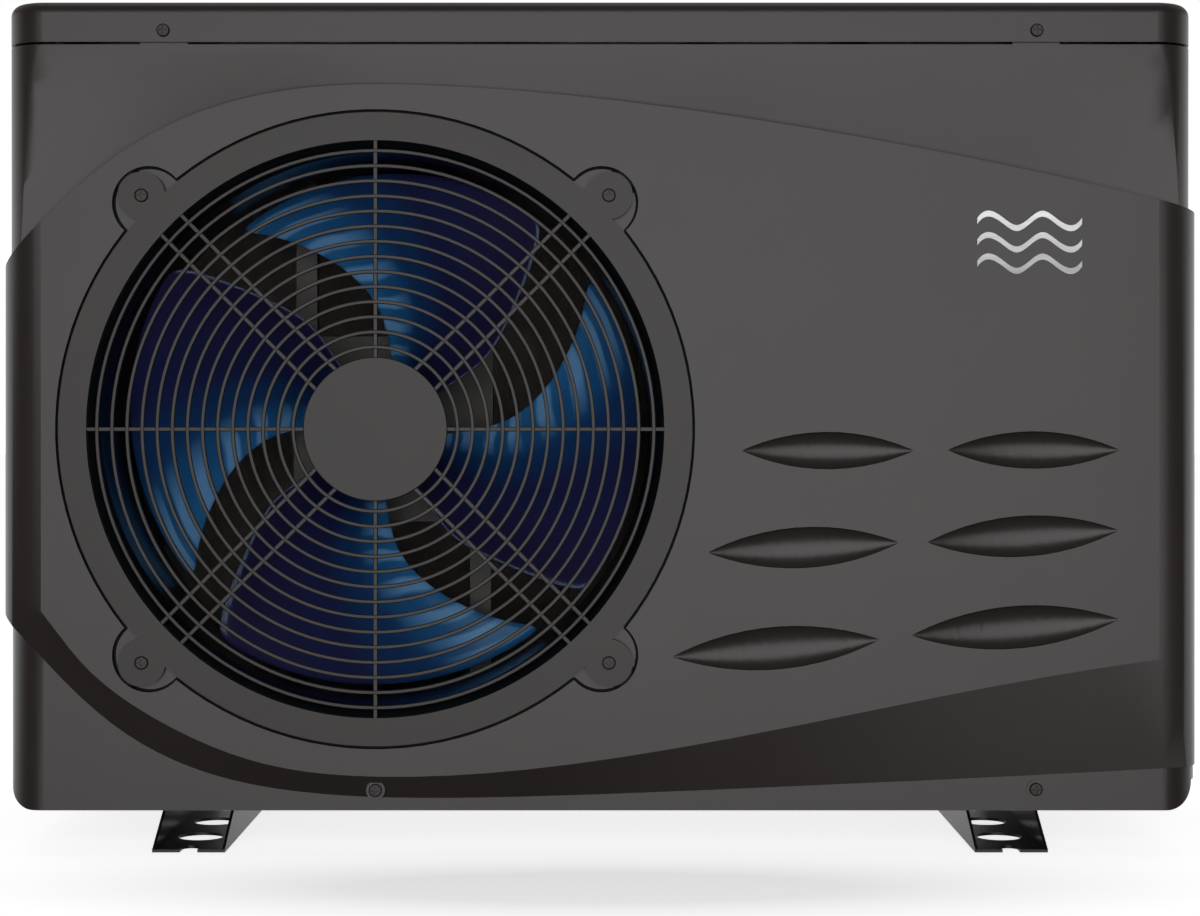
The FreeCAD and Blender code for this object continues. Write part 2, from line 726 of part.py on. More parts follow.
def hex_bolt(x, y, z, across, head, length, axis):
    """Bolt whose head's underside is at a point; axis points from the shank to the head."""
    way = V(*axis)
    start = V(x, y, z)
    radius = across / math.sqrt(3)
    side = V(1, 0, 0) if abs(way.x) < 0.5 else V(0, 1, 0)
    corners = []
    for i in range(7):
        turn = FreeCAD.Rotation(way, 60 * i)
        corners.append(start + turn.multVec(side * radius))
    body = Part.Face(Part.makePolygon(corners)).extrude(way * head)
    return body.fuse(Part.makeCylinder(across * BOLT_SHANK_SHARE, length + 0.5, start - way * length, way))


# ---- feet and base ----

def foot(x):
    """Channel foot with slanted ends, lips under the tray, round holes and open end notches."""
    half = FOOT_WIDTH / 2
    length = FOOT_HALF_LENGTH
    low = FOOT_HALF_LENGTH - FOOT_SLANT_LOW
    top = FOOT_HALF_LENGTH - FOOT_SLANT_TOP
    side = [(-length, 0), (length, 0), (length, FOOT_T), (low, FOOT_KNEE_Z), (top, BASE_Z),
            (-top, BASE_Z), (-low, FOOT_KNEE_Z), (-length, FOOT_T)]
    body = polygon_prism([(x - half, y, z) for y, z in side], (FOOT_WIDTH, 0, 0))
    body = body.cut(box(x - half + FOOT_T, x + half - FOOT_T, -length - 1, length + 1, FOOT_T, BASE_Z + 1))
    lips = [box(x - half - LIP, x - half + FOOT_T, -top, top, BASE_Z - FOOT_T, BASE_Z),
            box(x + half - FOOT_T, x + half + LIP, -top, top, BASE_Z - FOOT_T, BASE_Z)]
    body = fuse([body] + lips)
    cuts = [along_z(x, i * FOOT_HOLE_PITCH / 2, FOOT_HOLE_R, -1, FOOT_T + 1) for i in (-3, -1, 1, 3)]
    for end in (-1, 1):
        inner = end * (length - NOTCH_DEPTH + NOTCH_WIDTH / 2)
        cuts.append(along_z(x, inner, NOTCH_WIDTH / 2, -1, FOOT_T + 1))
        span = sorted((inner, end * (length + 1)))
        cuts.append(box(x - NOTCH_WIDTH / 2, x + NOTCH_WIDTH / 2, *span, -1, FOOT_T + 1))
    return body.cut(group(cuts + tray_holes(foot_bolt_points(), FOOT_BOLT_HOLE_R)))


def tray_holes(points, radius):
    """Holes through the tray's sheet and what lies against it."""
    return [along_z(x, y, radius, BASE_Z - WALL, BASE_Z + WALL) for x, y in points]


def foot_bolt_points():
    """Places of the bolts through the feet's lips."""
    offset = FOOT_WIDTH / 2 + LIP / 2
    return [(sx * FOOT_X + so * offset, sy * FOOT_BOLT_Y)
            for sx in (-1, 1) for so in (-1, 1) for sy in (-1, 1)]


def hex_bolts():
    """Bolts of the feet, the motor plate and the compressor."""
    bolts = [hex_bolt(x, y, BASE_Z - FOOT_T, *FOOT_BOLT, (0, 0, -1)) for x, y in foot_bolt_points()]
    bolts += [hex_bolt(x, RAIL_Y - PLATE_T, z, *MOTOR_BOLT, (0, -1, 0)) for x, z in motor_bolt_points()]
    bolts += [hex_bolt(x, y, COMPRESSOR_BOTTOM + MOUNT_NECK, *COMPRESSOR_BOLT, (0, 0, 1))
              for x, y in compressor_bolt_points()]
    return group(bolts)


def base_tray():
    """Sheet-steel tray with an upturned rim, a drain hole and the holes of its fasteners."""
    inset = WALL + TRAY_GAP
    sheet = TRAY_SHEET
    half = HALF_WIDTH - inset
    front = FRONT_LOW + inset
    back = REAR - inset
    tray = all_rounded(half, front, back, BASE_Z, TRAY_RIM_Z, CORNER_R - inset)
    room = all_rounded(half - sheet, front + sheet, back - sheet, BASE_Z + sheet, TRAY_RIM_Z + OVER,
                       CORNER_R - inset - sheet)
    tray = tray.cut(bottom_corners(inset)).cut(room.cut(bottom_corners(inset + sheet)))
    cuts = screw_holes() + tray_holes([DRAIN], DRAIN_R + 0.2)
    cuts += tray_holes(foot_bolt_points(), FOOT_BOLT_HOLE_R)
    cuts += tray_holes(compressor_bolt_points(), COMPRESSOR_BOLT_HOLE_R)
    return tray.cut(group(cuts))


def drain_spout():
    """Condensate spout under the tray."""
    spout = fuse([along_z(*DRAIN, DRAIN_R, DRAIN_END_Z, BASE_Z + 2.5),
                  along_z(*DRAIN, DRAIN_FLANGE_R, BASE_Z - 4, BASE_Z)])
    return spout.cut(along_z(*DRAIN, DRAIN_BORE_R, 0, BASE_Z + OVER))


# ---- grille, shroud and fan ----

def lobed_rim():
    """Grille's outer outline as a plate, with the lobes run smoothly into the rim."""
    plate = round_with_ears(GRILLE_R, LOBE_R, GRILLE_SCREW, FRONT_BAND, FRONT_BAND + POCKET_DEPTH)
    corners = [e for e in plate.Edges if e.BoundBox.XLength < 0.01 and e.BoundBox.ZLength < 0.01
               and abs(math.hypot(e.CenterOfMass.x - FAN_X, e.CenterOfMass.z - FAN_Z) - GRILLE_R) < 0.5]
    corners = [e for e in corners if abs(abs(e.CenterOfMass.x - FAN_X) - GRILLE_R) > 1]
    return plate.makeFillet(LOBE_FILLET, corners)


def spoke(length, width, angle, offset, y0, y1):
    """Bar along the radius at an angle, moved sideways by an offset."""
    bar = Part.makeBox(length, y1 - y0, width, V(0, y0, offset - width / 2))
    bar.rotate(V(0, 0, 0), V(0, 1, 0), -angle)
    bar.translate(V(FAN_X, 0, FAN_Z))
    return bar


def behind_band(depths):
    """Front and back of something in y, from its depths behind the raised band's face."""
    return [FRONT_BAND + depth for depth in depths]


def fan_grille():
    """Round grille: rim with screw lobes, rings, spokes and a flat hub disc."""
    rim = lobed_rim().cut(along_y(FAN_X, FAN_Z, OPENING_R, FRONT_BAND - 1, FRONT_BAND + OVER))
    lip = along_y(FAN_X, FAN_Z, OPENING_R + 0.5, FRONT_BAND, FRONT_BAND + POCKET_DEPTH)
    lip = lip.cut(along_y(FAN_X, FAN_Z, OPENING_R - 3, FRONT_BAND - 1, FRONT_BAND + OVER))
    parts = [rim, lip, along_y(FAN_X, FAN_Z, HUB_DISC_R, *behind_band(HUB_DISC_Y))]
    for i in range(RING_COUNT):
        r = RING_FIRST_R + i * RING_PITCH
        outer = along_y(FAN_X, FAN_Z, r + RING_WIDTH / 2, *behind_band(RING_Y))
        parts.append(outer.cut(along_y(FAN_X, FAN_Z, r - RING_WIDTH / 2, FRONT_BAND, FRONT_BAND + OVER)))
    reach = OPENING_R - 1
    for i in range(4):
        parts.append(spoke(reach, SPOKE_WIDTH, 90 * i, 0, *behind_band(SPOKE_Y)))
        for side in (-1, 1):
            offset = side * PAIR_SPACING / 2
            parts.append(spoke(reach, SPOKE_WIDTH, 90 * i + 45, offset, *behind_band(SPOKE_Y)))
    centres = [(FAN_X + sx * GRILLE_SCREW, FAN_Z + sz * GRILLE_SCREW) for sx in (-1, 1) for sz in (-1, 1)]
    holes = [along_y(*at, SHANK_R + 0.1, FRONT_BAND - 1, FRONT_BAND + OVER) for at in centres]
    seats = [along_y(*at, HEAD_R + GAP, FRONT_BAND - 1, FRONT_BAND + GRILLE_SEAT) for at in centres]
    return fuse(parts).cut(group(holes + seats))


def fan_shroud():
    """Bell-mouthed ring round the fan, behind the front panel."""
    front = FRONT_BAND + POCKET_DEPTH + WALL + 0.2
    throat = front + SHROUD_MOUTH
    thick = SHROUD_T
    edge = OPENING_R + SHROUD_FLANGE
    outline = [
        Part.makeLine(V(edge, front, 0), V(OPENING_R, front, 0)),
        Part.Arc(V(OPENING_R, front, 0), V(SHROUD_R + 3, front + 9, 0), V(SHROUD_R, throat, 0)).toShape(),
        Part.makeLine(V(SHROUD_R, throat, 0), V(SHROUD_R, SHROUD_BACK, 0)),
        Part.makeLine(V(SHROUD_R, SHROUD_BACK, 0), V(SHROUD_R + thick, SHROUD_BACK, 0)),
        Part.makeLine(V(SHROUD_R + thick, SHROUD_BACK, 0), V(SHROUD_R + thick, throat, 0)),
        Part.Arc(V(SHROUD_R + thick, throat, 0), V(SHROUD_R + 3 + thick, front + 11, 0),
                 V(OPENING_R + 2, front + thick, 0)).toShape(),
        Part.makeLine(V(OPENING_R + 2, front + thick, 0), V(edge, front + thick, 0)),
        Part.makeLine(V(edge, front + thick, 0), V(edge, front, 0)),
    ]
    shroud = Part.Face(Part.Wire(outline)).revolve(V(0, 0, 0), V(0, 1, 0), 360)
    shroud.translate(V(FAN_X, 0, FAN_Z))
    return shroud


def blade_point(section, share):
    """Point of the blade's front face, a share of the way from the trailing to the leading edge."""
    radius, trail, lead, y_trail, y_lead = section
    angle = math.radians(trail + (lead - trail) * share)
    y = y_trail + (y_lead - y_trail) * share + BLADE_CAMBER * math.sin(math.pi * share)
    return V(radius * math.cos(angle), y, radius * math.sin(angle))


def blade():
    """Twisted and swept blade, of even thickness along the axis."""
    stations = [i / BLADE_STEPS for i in range(BLADE_STEPS + 1)]
    surface = Part.BSplineSurface()
    surface.interpolate([[blade_point(section, share) for share in stations] for section in BLADE_SECTIONS])
    return surface.toShape().extrude(V(0, BLADE_T, 0))


def fan():
    """Axial fan: cup hub with a boss on the shaft, and swept blades."""
    first = blade()
    parts = []
    for i in range(BLADES):
        copy = first.copy()
        copy.rotate(V(0, 0, 0), V(0, 1, 0), -360 / BLADES * i)
        copy.translate(V(FAN_X, 0, FAN_Z))
        parts.append(copy)
    cup = along_y(FAN_X, FAN_Z, FAN_HUB_R, FAN_HUB_FRONT, FAN_HUB_BACK)
    rim = [e for e in cup.Edges if abs(e.CenterOfMass.y - FAN_HUB_FRONT) < 0.1]
    cup = cup.makeFillet(FAN_HUB_FACE, rim)
    cup = cup.cut(along_y(FAN_X, FAN_Z, FAN_HUB_R - FAN_HUB_WALL, FAN_HUB_FRONT + FAN_HUB_FACE,
                          FAN_HUB_BACK + 1))
    boss = along_y(FAN_X, FAN_Z, FAN_BOSS_R, FAN_HUB_FRONT, FAN_HUB_BACK - 10)
    bore = along_y(FAN_X, FAN_Z, SHAFT_R, FAN_HUB_FRONT - 1, FAN_HUB_BACK + 1)
    return fuse([cup.fuse(boss)] + parts).cut(bore)


def fan_nut():
    """Cap nut on the end of the shaft."""
    nut = hex_bolt(FAN_X, FAN_HUB_FRONT, FAN_Z, FAN_NUT_ACROSS, FAN_NUT_T, 0.1, (0, -1, 0))
    return nut.cut(along_y(FAN_X, FAN_Z, SHAFT_R, FAN_HUB_FRONT - SHAFT_STAND, FAN_HUB_FRONT + 3))


def motor_shaft():
    """Shaft that carries the fan."""
    return along_y(FAN_X, FAN_Z, SHAFT_R, FAN_HUB_FRONT - SHAFT_STAND, MOTOR_BACK - 12)


def motor_rails():
    """Two upright channels that carry the motor."""
    rails = []
    for side in (-1, 1):
        x = FAN_X + side * RAIL_OFFSET
        half = RAIL_WIDTH / 2
        rail = box(x - half, x + half, RAIL_Y, RAIL_Y + RAIL_DEPTH, BASE_Z + TRAY_SHEET, SEAM_Z - 4)
        rail = rail.cut(box(x - half + RAIL_T, x + half - RAIL_T, RAIL_Y + RAIL_T, RAIL_Y + OVER, 0, TOP_Z))
        back = RAIL_Y + RAIL_DEPTH
        bottom = BASE_Z + TRAY_SHEET
        rails.append(fuse([rail, box(x - half, x + half, back, back + RAIL_FOOT, bottom, bottom + RAIL_T)]))
    return group(rails).cut(group(motor_bolt_bodies(0.1)))


def motor_bolt_points():
    """Places of the bolts in the motor plate: four into the rails and four into the motor."""
    points = [(sx * RAIL_OFFSET, sz * PLATE_BOLT_Z) for sx in (-1, 1) for sz in (-1, 1)]
    points += [(sx * MOTOR_BOLT_AT, sz * MOTOR_BOLT_AT) for sx in (-1, 1) for sz in (-1, 1)]
    return [(FAN_X + x, FAN_Z + z) for x, z in points]


def motor_bolt_bodies(grow):
    """Shank spaces of the motor plate's bolts."""
    radius = MOTOR_BOLT[0] * BOLT_SHANK_SHARE + grow
    return [along_y(x, z, radius, RAIL_Y - PLATE_T - 1, RAIL_Y + 12) for x, z in motor_bolt_points()]


def motor_plate():
    """Plate between the rails and the motor."""
    plate = box(FAN_X - PLATE_HALF_X, FAN_X + PLATE_HALF_X, RAIL_Y - PLATE_T, RAIL_Y,
                FAN_Z - PLATE_HALF_Z, FAN_Z + PLATE_HALF_Z)
    corners = [e for e in plate.Edges if e.BoundBox.XLength < 0.01 and e.BoundBox.ZLength < 0.01]
    plate = plate.makeFillet(8, corners)
    centre = along_y(FAN_X, FAN_Z, 17, RAIL_Y - OVER, RAIL_Y + OVER)
    return plate.cut(centre).cut(group(motor_bolt_bodies(0.1)))


def fan_motor():
    """Motor body with cooling ribs and a bearing boss at each end."""
    barrel = along_y(FAN_X, FAN_Z, MOTOR_R - 4, RAIL_Y, MOTOR_BACK - MOTOR_CAP)
    ribs = []
    margin = 8.0
    length = MOTOR_BACK - MOTOR_CAP - RAIL_Y - 2 * margin
    for i in range(MOTOR_RIBS):
        rib = Part.makeBox(RIB_DEPTH, length, RIB_T, V(MOTOR_R - RIB_DEPTH, RAIL_Y + margin, -RIB_T / 2))
        rib.rotate(V(0, 0, 0), V(0, 1, 0), 360 / MOTOR_RIBS * i)
        rib.translate(V(FAN_X, 0, FAN_Z))
        ribs.append(rib)
    rear = along_y(FAN_X, FAN_Z, MOTOR_R - MOTOR_CAP, MOTOR_BACK - MOTOR_CAP, MOTOR_BACK)
    front = along_y(FAN_X, FAN_Z, 16, RAIL_Y - 8, RAIL_Y)
    motor = fuse([barrel, rear, front] + ribs)
    bore = along_y(FAN_X, FAN_Z, SHAFT_R + RUNNING, RAIL_Y - OVER, MOTOR_BACK - 10)
    return motor.cut(bore).cut(group(motor_bolt_bodies(0.1)))


# ---- evaporator ----

def tube_heights():
    """Heights of the evaporator's tube runs."""
    return [FIN_BOTTOM + TUBE_FIRST + i * TUBE_PITCH for i in range(TUBE_COUNT)]


def evaporator_fins():
    """Aluminium fins of the rear bank and of the left leg."""
    rear_fin = box(0, FIN_T, COIL_REAR_Y, COIL_REAR_Y + FIN_DEPTH, FIN_BOTTOM, FIN_TOP)
    rear_fin = rear_fin.cut(group([along_x(REAR_MID, z, TUBE_HOLE_R, -1, FIN_T + 1)
                                   for z in tube_heights()]))
    left_fin = box(COIL_LEFT_X, COIL_LEFT_X + FIN_DEPTH, 0, FIN_T, FIN_BOTTOM, FIN_TOP)
    left_fin = left_fin.cut(group([along_y(LEFT_MID, z, TUBE_HOLE_R, -1, FIN_T + 1)
                                   for z in tube_heights()]))
    fins = []
    x = LEFT_MID + TUBE_BEND + 4
    while x < COIL_RIGHT_X - 6:
        fins.append(rear_fin.translated(V(x, 0, 0)))
        x += FIN_PITCH
    y = COIL_FRONT_Y + 6
    while y < REAR_MID - TUBE_BEND - 4:
        fins.append(left_fin.translated(V(0, y, 0)))
        y += FIN_PITCH
    return group(fins)


def evaporator_tubes():
    """Copper runs round the corner of the coil, joined in pairs by return bends at the right end."""
    tubes = []
    for z in tube_heights():
        points = [(LEFT_MID, TUBE_FRONT_Y, z), (LEFT_MID, REAR_MID, z), (TUBE_RIGHT_X, REAR_MID, z)]
        tubes.append(bent_tube(points, TUBE_R, TUBE_R - TUBE_WALL, TUBE_BEND))
    return group(tubes + return_bends())


def return_bend(x, y, z, out, plane_axis):
    """Half ring that joins two neighbouring tubes."""
    ring = Part.makeTorus(TUBE_PITCH / 2, TUBE_R, V(x, y, z + TUBE_PITCH / 2), V(*plane_axis))
    way = V(*out)
    size = TUBE_PITCH
    keep = Part.makeBox(2 * size, 2 * size, 2 * size, V(x - size, y - size, z + TUBE_PITCH / 2 - size))
    keep.translate(way * size)
    return ring.common(keep)


def return_bends():
    """Return bends at both ends of the coil."""
    heights = tube_heights()
    bends = [return_bend(TUBE_RIGHT_X, REAR_MID, z, (1, 0, 0), (0, 1, 0)) for z in heights[0:-1:2]]
    return bends + [return_bend(LEFT_MID, TUBE_FRONT_Y, z, (0, -1, 0), (1, 0, 0)) for z in heights[1:-1:2]]


def evaporator_end_plates():
    """Steel plates at the two ends of the coil."""
    right = box(COIL_RIGHT_X, COIL_RIGHT_X + 2, COIL_REAR_Y - 4, COIL_REAR_Y + FIN_DEPTH + 8,
                BASE_Z + 2, FIN_TOP + 8)
    front = box(COIL_LEFT_X - 4, COIL_LEFT_X + FIN_DEPTH + 6, COIL_FRONT_Y, COIL_FRONT_Y + 2,
                FIN_BOTTOM - 4, FIN_TOP + 8)
    holes = [along_x(REAR_MID, z, TUBE_HOLE_R, COIL_RIGHT_X - 5, COIL_RIGHT_X + 5) for z in tube_heights()]
    holes += [along_y(LEFT_MID, z, TUBE_HOLE_R, COIL_FRONT_Y - 5, COIL_FRONT_Y + 5)
              for z in tube_heights()]
    return group([right, front]).cut(group(holes))


def partition_panel():
    """Steel wall between the fan chamber and the compressor chamber."""
    wall = box(PARTITION_X - 1.5, PARTITION_X, PARTITION_FRONT, COIL_REAR_Y - 6, BASE_Z + 2, SEAM_Z - 2)
    flange = box(PARTITION_X - 16, PARTITION_X, COIL_REAR_Y - 6, COIL_REAR_Y - 4.5, BASE_Z + 2, SEAM_Z - 2)
    return fuse([wall, flange])


# ---- compressor chamber ----

def compressor_bolt_points():
    """Places of the compressor's three mounts."""
    x, y = COMPRESSOR
    turns = [math.radians(a) for a in COMPRESSOR_ARMS]
    return [(x + ARM_REACH * math.cos(turn), y + ARM_REACH * math.sin(turn)) for turn in turns]


def compressor():
    """Hermetic rotary compressor on a three-lobed foot plate."""
    x, y = COMPRESSOR
    shell = along_z(x, y, COMPRESSOR_R, COMPRESSOR_BOTTOM + 6, COMPRESSOR_TOP)
    ends = [e for e in shell.Edges if e.BoundBox.ZLength < 0.01]
    shell = shell.makeFillet(22, ends)
    plate = along_z(x, y, 50, COMPRESSOR_BOTTOM, COMPRESSOR_BOTTOM + 9)
    arm_top = COMPRESSOR_BOTTOM + ARM_T
    arms = [along_z(*at, ARM_HALF, COMPRESSOR_BOTTOM, arm_top) for at in compressor_bolt_points()]
    for a in COMPRESSOR_ARMS:
        arm = box(0, ARM_REACH, -ARM_HALF, ARM_HALF, COMPRESSOR_BOTTOM, arm_top)
        arm.rotate(V(0, 0, 0), V(0, 0, 1), a)
        arm.translate(V(x, y, 0))
        arms.append(arm)
    stub = along_z(x + 20, y + 10, 5, COMPRESSOR_TOP - 4, COMPRESSOR_TOP + 14)
    body = fuse([shell, plate, stub] + arms)
    holes = [along_z(*at, MOUNT_NECK_R + 0.1, 0, arm_top + 2) for at in compressor_bolt_points()]
    return body.cut(group(holes))


def compressor_mounts():
    """Rubber grommets under the compressor's foot plate."""
    mounts = []
    for x, y in compressor_bolt_points():
        body = along_z(x, y, ARM_HALF - 1, BASE_Z + TRAY_SHEET, COMPRESSOR_BOTTOM)
        neck = along_z(x, y, MOUNT_NECK_R, COMPRESSOR_BOTTOM, COMPRESSOR_BOTTOM + MOUNT_NECK)
        bore = along_z(x, y, COMPRESSOR_BOLT_HOLE_R, 0, 2 * COMPRESSOR_BOTTOM)
        mounts.append(fuse([body, neck]).cut(bore))
    return group(mounts)


def terminal_cover():
    """Cap over the compressor's terminals."""
    x, y = COMPRESSOR
    cap = along_z(x - 18, y - 10, 22, COMPRESSOR_TOP + 0.2, COMPRESSOR_TOP + 24)
    return cap.makeFillet(4, [e for e in cap.Edges if e.BoundBox.ZMin > COMPRESSOR_TOP + 20])


def accumulator():
    """Suction accumulator beside the compressor."""
    x, y = ACCUMULATOR
    body = along_z(x, y, ACCUMULATOR_R, *ACCUMULATOR_Z)
    return body.makeFillet(14, [e for e in body.Edges if e.BoundBox.ZLength < 0.01])


def accumulator_strap():
    """Band from the accumulator to the partition."""
    x, y = ACCUMULATOR
    inner = ACCUMULATOR_R + 0.2
    band = along_z(x, y, inner + STRAP_T, *ACCUMULATOR_STRAP_Z).cut(along_z(x, y, inner, *ACCUMULATOR_Z))
    arm = box(PARTITION_X + 0.2, x - inner - 1, y - 8, y + 8, *ACCUMULATOR_STRAP_Z)
    return fuse([band, arm])


def exchanger_shell():
    """Pipe-shaped shell of the water heat exchanger, with two side ports."""
    x, y = EXCHANGER
    shell = along_z(x, y, EXCHANGER_R, EXCHANGER_BOTTOM, EXCHANGER_TOP)
    ports = [along_x(UNION_Y, z, PIPE_R, x + EXCHANGER_R - 12, HALF_WIDTH + 8) for z in UNION_Z.values()]
    shell = fuse([shell] + ports)
    bores = [along_x(UNION_Y, z, PIPE_BORE, x + EXCHANGER_R - 30, UNION_END) for z in UNION_Z.values()]
    return shell.cut(along_z(x, y, EXCHANGER_R - EXCHANGER_WALL, 0, TOP_Z)).cut(group(bores))


def exchanger_caps():
    """Domed caps on the two ends of the exchanger."""
    x, y = EXCHANGER
    caps = []
    for face, way in ((EXCHANGER_BOTTOM, -1), (EXCHANGER_TOP, 1)):
        rim = face + way * EXCHANGER_CAP
        cap = along_z(x, y, EXCHANGER_R + 3, *sorted((face, rim)))
        cap = cap.makeFillet(EXCHANGER_CAP / 2, [e for e in cap.Edges if abs(e.CenterOfMass.z - rim) < 0.1])
        room = sorted((rim - 5 * way, face - OVER * way))
        caps.append(cap.cut(along_z(x, y, EXCHANGER_R - EXCHANGER_WALL, *room)))
    holes = [along_z(x + side * EXCHANGER_LEG_X, y, COIL_TUBE_R + 0.2, EXCHANGER_BOTTOM, TOP_Z)
             for side in (-1, 1)]
    return group([caps[0], caps[1].cut(group(holes))])


def exchanger_coil():
    """Titanium coil: stacked turns inside the shell and two legs out through the top cap."""
    x, y = EXCHANGER
    inner = COIL_TUBE_R - PIPE_WALL
    turn = Part.makeTorus(COIL_TURN_R, COIL_TUBE_R, V(x, y, EXCHANGER_BOTTOM + 22), V(0, 0, 1))
    turn = turn.cut(Part.makeTorus(COIL_TURN_R, inner, V(x, y, EXCHANGER_BOTTOM + 22), V(0, 0, 1)))
    turns = [turn.translated(V(0, 0, i * COIL_PITCH)) for i in range(COIL_TURNS)]
    legs = []
    for side in (-1, 1):
        at = (x + side * EXCHANGER_LEG_X, y)
        leg = along_z(*at, COIL_TUBE_R, EXCHANGER_TOP - 6, EXCHANGER_TOP + 56)
        legs.append(leg.cut(along_z(*at, inner, 0, TOP_Z)))
    return group(turns + legs)


def exchanger_strap():
    """Band that holds the exchanger to the rear wall."""
    x, y = EXCHANGER
    inner = EXCHANGER_R + 0.2
    band = along_z(x, y, inner + STRAP_T, *EXCHANGER_STRAP_Z).cut(along_z(x, y, inner, 0, TOP_Z))
    arm = box(x - 12, x + 12, y + inner + 1, REAR - WALL - 0.2, *EXCHANGER_STRAP_Z)
    return fuse([band, arm])


def straps():
    """Steel bands of the accumulator and the exchanger."""
    return group([accumulator_strap(), exchanger_strap()])


def union_bodies():
    """Flanged union halves that come out through the right side."""
    bodies = []
    for z in UNION_Z.values():
        body = fuse([along_x(UNION_Y, z, UNION_THREAD_R, HALF_WIDTH - 10, HALF_WIDTH + 20),
                     along_x(UNION_Y, z, UNION_THREAD_R + 7, HALF_WIDTH, HALF_WIDTH + 4)])
        body = body.cut(along_x(UNION_Y, z, PIPE_R + 0.1, 0, HALF_WIDTH + 8))
        bodies.append(body.cut(along_x(UNION_Y, z, PIPE_BORE, 0, UNION_END)))
    return group(bodies)


def union_seals():
    """Flat rubber rings between the halves of the unions."""
    x = HALF_WIDTH + 20
    return group([along_x(UNION_Y, z, 31, x, x + SEAL_T).cut(along_x(UNION_Y, z, PIPE_BORE, 0, UNION_END))
                  for z in UNION_Z.values()])


def union_tails():
    """Outer union halves with the socket that a pool pipe goes into."""
    x = HALF_WIDTH + 20 + SEAL_T
    tails = []
    for z in UNION_Z.values():
        tail = fuse([along_x(UNION_Y, z, 33, x, x + 5), along_x(UNION_Y, z, TAIL_R, x, UNION_END)])
        tail = tail.cut(along_x(UNION_Y, z, PIPE_BORE, 0, UNION_END))
        tails.append(tail.cut(along_x(UNION_Y, z, SOCKET_R, x + 8, UNION_END + 1)))
    return group(tails)


def union_nut(which):
    """Ribbed nut that draws one union together."""
    z = UNION_Z[which]
    x0 = HALF_WIDTH + 5
    x1 = HALF_WIDTH + 34
    nut = along_x(UNION_Y, z, NUT_R - 3, x0, x1)
    ribs = []
    for i in range(NUT_RIBS):
        rib = Part.makeBox(x1 - x0 - 3, 6, 7, V(x0 + 1.5, NUT_R - 6, -3.5))
        rib.rotate(V(0, 0, 0), V(1, 0, 0), 360 / NUT_RIBS * i)
        rib.translate(V(0, UNION_Y, z))
        ribs.append(rib)
    nut = fuse([nut] + ribs)
    inner = along_x(UNION_Y, z, UNION_THREAD_R + NUT_CLEAR, 0, HALF_WIDTH + 27 + NUT_CLEAR)
    return nut.cut(inner).cut(along_x(UNION_Y, z, TAIL_R + NUT_CLEAR, 0, UNION_END))


def reversing_valve():
    """Four-way valve body with its pilot."""
    y, z = REVERSING_VALVE
    body = along_x(y, z, 15, 232, 312)
    body = body.makeFillet(6, [e for e in body.Edges if e.BoundBox.XLength < 0.01])
    pilot = along_x(y - 26, z, 7, 250, 292)
    link = box(262, 280, y - 26, y - 10, z - 4, z + 4)
    return fuse([body, pilot, link])


def valve_coil():
    """Solenoid coil on the pilot."""
    y, z = REVERSING_VALVE
    return box(292.3, 318, y - 44, y - 16, z - 14, z + 14)


def expansion_valve():
    """Electronic expansion valve."""
    x, y = EXPANSION_VALVE
    body = along_z(x, y, 11, 386, 410)
    motor = along_z(x, y, 17, 410, 436)
    return fuse([body, motor])


def filter_drier():
    """Copper filter drier, brazed to its pipe."""
    body = along_z(*FILTER_DRIER, 12, 330, 400)
    return body.makeFillet(8, [e for e in body.Edges if e.BoundBox.ZLength < 0.01])


def refrigerant_pipes():
    """Copper pipes between the compressor, the valve, the accumulator and the two exchangers."""
    x, y = COMPRESSOR
    port = EXCHANGER_TOP + 56.5
    left, right = (EXCHANGER[0] + side * EXCHANGER_LEG_X for side in (-1, 1))
    discharge = [(x + 20, y + 10, COMPRESSOR_TOP + 14.2), (x + 20, y + 10, 395), (x - 26, y + 36, 395),
                 (x - 26, y + 64, 414.5)]
    suction = [(258, 32, 300.5), (258, 32, 380), (248, 12, 380), (248, 12, 414.5)]
    gas = [(300, 12, 445.5), (300, 12, 500), (left, UNION_Y, 560), (left, UNION_Y, port)]
    liquid = [(right, UNION_Y, port), (right, UNION_Y, 570), (right, -16, 570),
              (*EXPANSION_VALVE, 500), (*EXPANSION_VALVE, 436.2)]
    drier = [(*FILTER_DRIER, 329.5), (*FILTER_DRIER, 280), (224, 120, 250)]
    bends = (10, 7, 12, 16, 12)
    routes = (discharge, suction, gas, liquid, drier)
    pipes = [bent_tube(route, PIPE_OUTER_R, PIPE_OUTER_R - PIPE_WALL, bend)
             for route, bend in zip(routes, bends)]
    return group(pipes + [filter_drier()])


# ---- electrical box ----

def electrical_box():
    """Sheet box for the electronics, open to the front."""
    x0, x1, y0, y1, z0, z1 = EBOX
    t = EBOX_SHEET
    return box(*EBOX).cut(box(x0 + t, x1 - t, y0 - 1, y1 - t, z0 + t, z1 - t))


def electrical_cover():
    """Front cover of the electrical box."""
    x0, x1, y0, _, z0, z1 = EBOX
    return box(x0, x1, y0 - 2, y0 - 0.3, z0, z1)


def circuit_board():
    """Control board with its relays and heat sink, on four posts."""
    x0, x1, _, y1, z0, z1 = EBOX
    y = y1 - 14
    board = box(x0 + 14, x1 - 60, y, y + BOARD_T, z0 + 20, z1 - 20)
    posts = [along_y(px, pz, 3, y + BOARD_T, y1 - EBOX_SHEET - 0.2)
             for px in (x0 + 20, x1 - 68) for pz in (z0 + 28, z1 - 28)]
    blocks = [box(x0 + 30 + i * 26, x0 + 48 + i * 26, y - 16, y, z0 + 40, z0 + 62) for i in range(4)]
    sink = box(x0 + 40, x0 + 120, y - 24, y, z0 + 90, z0 + 130)
    return fuse([board, sink] + posts + blocks)


